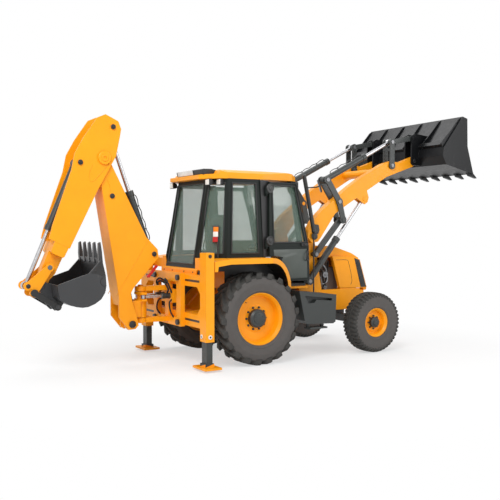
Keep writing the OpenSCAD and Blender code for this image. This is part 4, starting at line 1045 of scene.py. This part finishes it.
for _, short, s in SIDES:
    grille_strip(s).done(f"grille_strip_{short}", "black", "bonnet", "black_paint", 0.002, 1)
    bonnet_groove_shade(s).done(f"bonnet_groove_shade_{short}", "black", "bonnet", "black_paint", 0)
    bonnet_flange(s).done(f"bonnet_flange_{short}", "yellow", "chassis", "painted", 0.001, 1)
    bent_runs(ENGINE_PIPES, 10, (s, )).done(f"engine_pipes_{short}", "steel", "chassis", "pin_steel", 0)
    engine_pulleys(s).done(f"engine_pulleys_{short}", "steel", "chassis", "pin_steel", 0.001, 1)
    bent_runs(ENGINE_HOSES, 8, (s, )).done(f"engine_hoses_{short}", "hose", "chassis", "rubber", 0)
    arm_pivot_cover(s).done(f"arm_pivot_cover_{short}", "black", "arms", "black_paint", 0.010, 3)
    arm_pivot_cap(s).done(f"arm_pivot_cap_{short}", "black", "chassis", "black_paint", 0.002, 1)

# Rear: sill with rivets, black sheets of painted shade for the slots in the cross rails, carriage hoses, red
# lock lever, seams of boom and dipper
RIVETS_Y = (0.49, 0.20, -0.20, -0.49)
SLOTS_Z, SLOT_X, SLOT_Y, SLOT_HALF = (1.232, 0.672), (-0.91015, -0.9098), (0.475, 0.925), 0.016
CARRIAGE_HOSES = (([(-0.975, 0.06, 1.15), (-1.04, 0.07, 1.19), (-1.06, 0.14, 1.16), (-1.03, 0.16, 1.08),
                    (-1.03, 0.125, 1.02)], 0.013),
                  ([(-0.975, 0.03, 1.18), (-1.05, 0.10, 1.23), (-1.05, 0.21, 1.16),
                    (-0.985, 0.185, 1.03)], 0.013),
                  ([(-0.975, 0.165, 0.93), (-1.03, 0.20, 0.88), (-1.03, 0.24, 0.76),
                    (-0.975, 0.23, 0.67)], 0.012))
BOOM_SEAMS = ([(-1.358, 1.785), (-1.588, 1.421), (-1.83, 1.026)],
              [(-1.961, 2.655), (-1.930, 2.580), (-1.912, 2.485)])
DIPPER_SEAM = [(-1.95, 2.871), (-2.073, 2.727), (-2.182, 2.622), (-2.234, 2.650), (-2.226, 2.753),
               (-2.182, 2.850)]
BOOM_Y, DIPPER_Y, SEAM_R = 0.170, 0.206, 0.0042

b = Build()
sill = [(-0.760, 1.388), (-0.790, 1.372), (-0.792, 1.300), (-0.784, 1.296), (-0.780, 1.364), (-0.760, 1.376)]
b.plate(sill, -0.60, 0.60)
b.done("rear_sill", "yellow", "chassis", "painted", 0.004, 2)
b = Build()
for y in RIVETS_Y:
    b.disc(at(-0.7915, y, 1.338), (-1, 0, 0.02), 0.011, 0.006, 14, 0.5)
b.done("sill_rivets", "black", "chassis", "black_paint", 0)
# Painted shade: thin black sheets on the cross rails stand for the shade inside their slots
b = Build()
for _, _, s in SIDES:
    near_y, far_y = sorted(s * y for y in SLOT_Y)
    for z in SLOTS_Z:
        b.box(at(SLOT_X[0], near_y, z - SLOT_HALF), at(SLOT_X[1], far_y, z + SLOT_HALF))
b.done("rail_slot_shade", "black", "chassis", "black_paint", 0)
bent_runs(CARRIAGE_HOSES, 10, (1, -1)).done("carriage_hoses", "hose", "carriage", "rubber", 0)
b = Build()
lever = [(-1.235, 1.450), (-1.205, 1.425), (-1.330, 1.275), (-1.375, 1.262), (-1.385, 1.300), (-1.350, 1.310)]
b.plate(lever, -0.198, -0.176)
b.disc(at(-1.350, -0.170, 1.285), (0, -1, 0), 0.024, 0.034, 20, 0.2)
b.done("lock_lever", "red", "boom", "trim", 0.004, 2)
boom_seams, dipper_seams = Build(), Build()
for _, _, s in SIDES:
    for seam in BOOM_SEAMS:
        boom_seams.tube([at(x, s * BOOM_Y, z) for x, z in seam], SEAM_R, 6)
    dipper_seams.tube(curve([at(x, s * DIPPER_Y, z) for x, z in DIPPER_SEAM], 6), SEAM_R, 6)
boom_seams.done("boom_seams", "yellow", "boom", "painted", 0)
dipper_seams.done("dipper_seams", "yellow", "dipper", "painted", 0)

# Digging bucket: side cutters and their seams, in the bucket's own axes from its pin
DIG, DIG_A = pin("bucket_curl"), math.radians(40.4)
CUTTER = [(0.545, -0.222), (0.785, -0.190), (0.738, -0.285), (0.690, -0.372), (0.640, -0.360),
          (0.610, -0.300)]
CUTTER_SEAM = [(0.690, -0.372), (0.585, -0.392), (0.560, -0.450), (0.575, -0.500), (0.545, -0.545)]
CUTTER_BOLTS = ((0.62, -0.245), (0.70, -0.235), (0.70, -0.31))
CUTTER_IN, CUTTER_OUT = 0.4485, 0.4525


def in_bucket(u, v, y):
    across, up = math.cos(DIG_A), math.sin(DIG_A)
    return at(DIG[0] + u * across - v * up, y, DIG[1] + u * up + v * across)


b = Build()
for _, _, s in SIDES:
    b.loft([[in_bucket(u, v, s * y) for u, v in CUTTER] for y in (CUTTER_IN, CUTTER_OUT)])
    b.tube(curve([in_bucket(u, v, s * (CUTTER_IN + 0.001)) for u, v in CUTTER_SEAM], 5), 0.006, 6)
    for u, v in CUTTER_BOLTS:
        b.nut(in_bucket(u, v, s * CUTTER_OUT), (0, s, 0), 0.012, 0.008)
b.done("side_cutters", "black", "digging_bucket", "black_paint", 0.002, 1)

# Camera, light and floor
CAMERA = Vector((-5.685 + AXLE, -10.152, 1.981))
YAW, PITCH = math.radians(58.76), math.radians(-1.7)
cam = bpy.data.cameras.new("camera")
cam.sensor_width = 36
cam.lens = 53.83
camera = bpy.data.objects.new("camera", cam)
scene.collection.objects.link(camera)
look = Vector((math.cos(YAW) * math.cos(PITCH), math.sin(YAW) * math.cos(PITCH), math.sin(PITCH)))
camera.matrix_world = Matrix.Translation(CAMERA) @ look.to_track_quat("-Z", "Y").to_matrix().to_4x4()
scene.camera = camera

world = bpy.data.worlds.new("studio")
scene.world = world
world.use_nodes = True
wt = world.node_tree
back = wt.nodes["Background"]


def seen_rays(tree):
    """1 for what the camera sees, straight or through glass or in a shiny face."""
    path = tree.nodes.new("ShaderNodeLightPath")
    total = path.outputs["Is Camera Ray"]
    for kind in ("Is Glossy Ray", "Is Transmission Ray"):
        add = tree.nodes.new("ShaderNodeMath")
        add.operation = "MAXIMUM"
        tree.links.new(total, add.inputs[0])
        tree.links.new(path.outputs[kind], add.inputs[1])
        total = add.outputs[0]
    return total


power = wt.nodes.new("ShaderNodeMapRange")
power.inputs["To Min"].default_value = 0.45
power.inputs["To Max"].default_value = 1.0
wt.links.new(seen_rays(wt), power.inputs["Value"])
wt.links.new(power.outputs["Result"], back.inputs["Strength"])
back.inputs["Color"].default_value = (1, 1, 1, 1)


def lamp(name, place, aim, size, watts):
    data = bpy.data.lights.new(name, "AREA")
    data.size = size
    data.energy = watts
    obj = bpy.data.objects.new(name, data)
    scene.collection.objects.link(obj)
    obj.location = place
    obj.rotation_euler = (Vector(aim) - Vector(place)).to_track_quat("-Z", "Y").to_euler()


lamp("key", (-7.5, -7.0, 9.5), (0, 0, 1.4), 6.0, 1000)
lamp("side", (6.5, -8.0, 5.0), (0.5, 0, 1.5), 5.0, 260)
lamp("top", (0, 3.0, 10.0), (0, 0, 1.5), 7.0, 420)

FAR = 60
floor_mesh = bpy.data.meshes.new("floor")
floor_mesh.from_pydata([(-FAR, -FAR, 0), (FAR, -FAR, 0), (FAR, FAR, 0), (-FAR, FAR, 0)], [], [(0, 1, 2, 3)])
floor = bpy.data.objects.new("floor", floor_mesh)
scene.collection.objects.link(floor)
# The floor is pale under the machine and turns into the white background with distance
fm, ft, fb = nodes_of("pale_floor")
fb.inputs["Base Color"].default_value = (0.9, 0.9, 0.9, 1)
fb.inputs["Roughness"].default_value = 0.9
place = ft.nodes.new("ShaderNodeTexCoord")
apart = ft.nodes.new("ShaderNodeVectorMath")
apart.operation = "LENGTH"
ft.links.new(place.outputs["Object"], apart.inputs[0])
fade = ft.nodes.new("ShaderNodeMapRange")
fade.interpolation_type = "SMOOTHSTEP"
for socket, value in (("From Min", 2.2), ("From Max", 5.2), ("To Min", 0.55), ("To Max", 1.0)):
    fade.inputs[socket].default_value = value
ft.links.new(apart.outputs["Value"], fade.inputs["Value"])
part = ft.nodes.new("ShaderNodeMath")
part.operation = "MULTIPLY"
ft.links.new(fade.outputs["Result"], part.inputs[0])
ft.links.new(seen_rays(ft), part.inputs[1])
white = ft.nodes.new("ShaderNodeEmission")
both = ft.nodes.new("ShaderNodeMixShader")
ft.links.new(part.outputs[0], both.inputs["Fac"])
ft.links.new(fb.outputs["BSDF"], both.inputs[1])
ft.links.new(white.outputs["Emission"], both.inputs[2])
ft.links.new(both.outputs["Shader"], ft.nodes["Material Output"].inputs["Surface"])
floor_mesh.materials.append(fm)
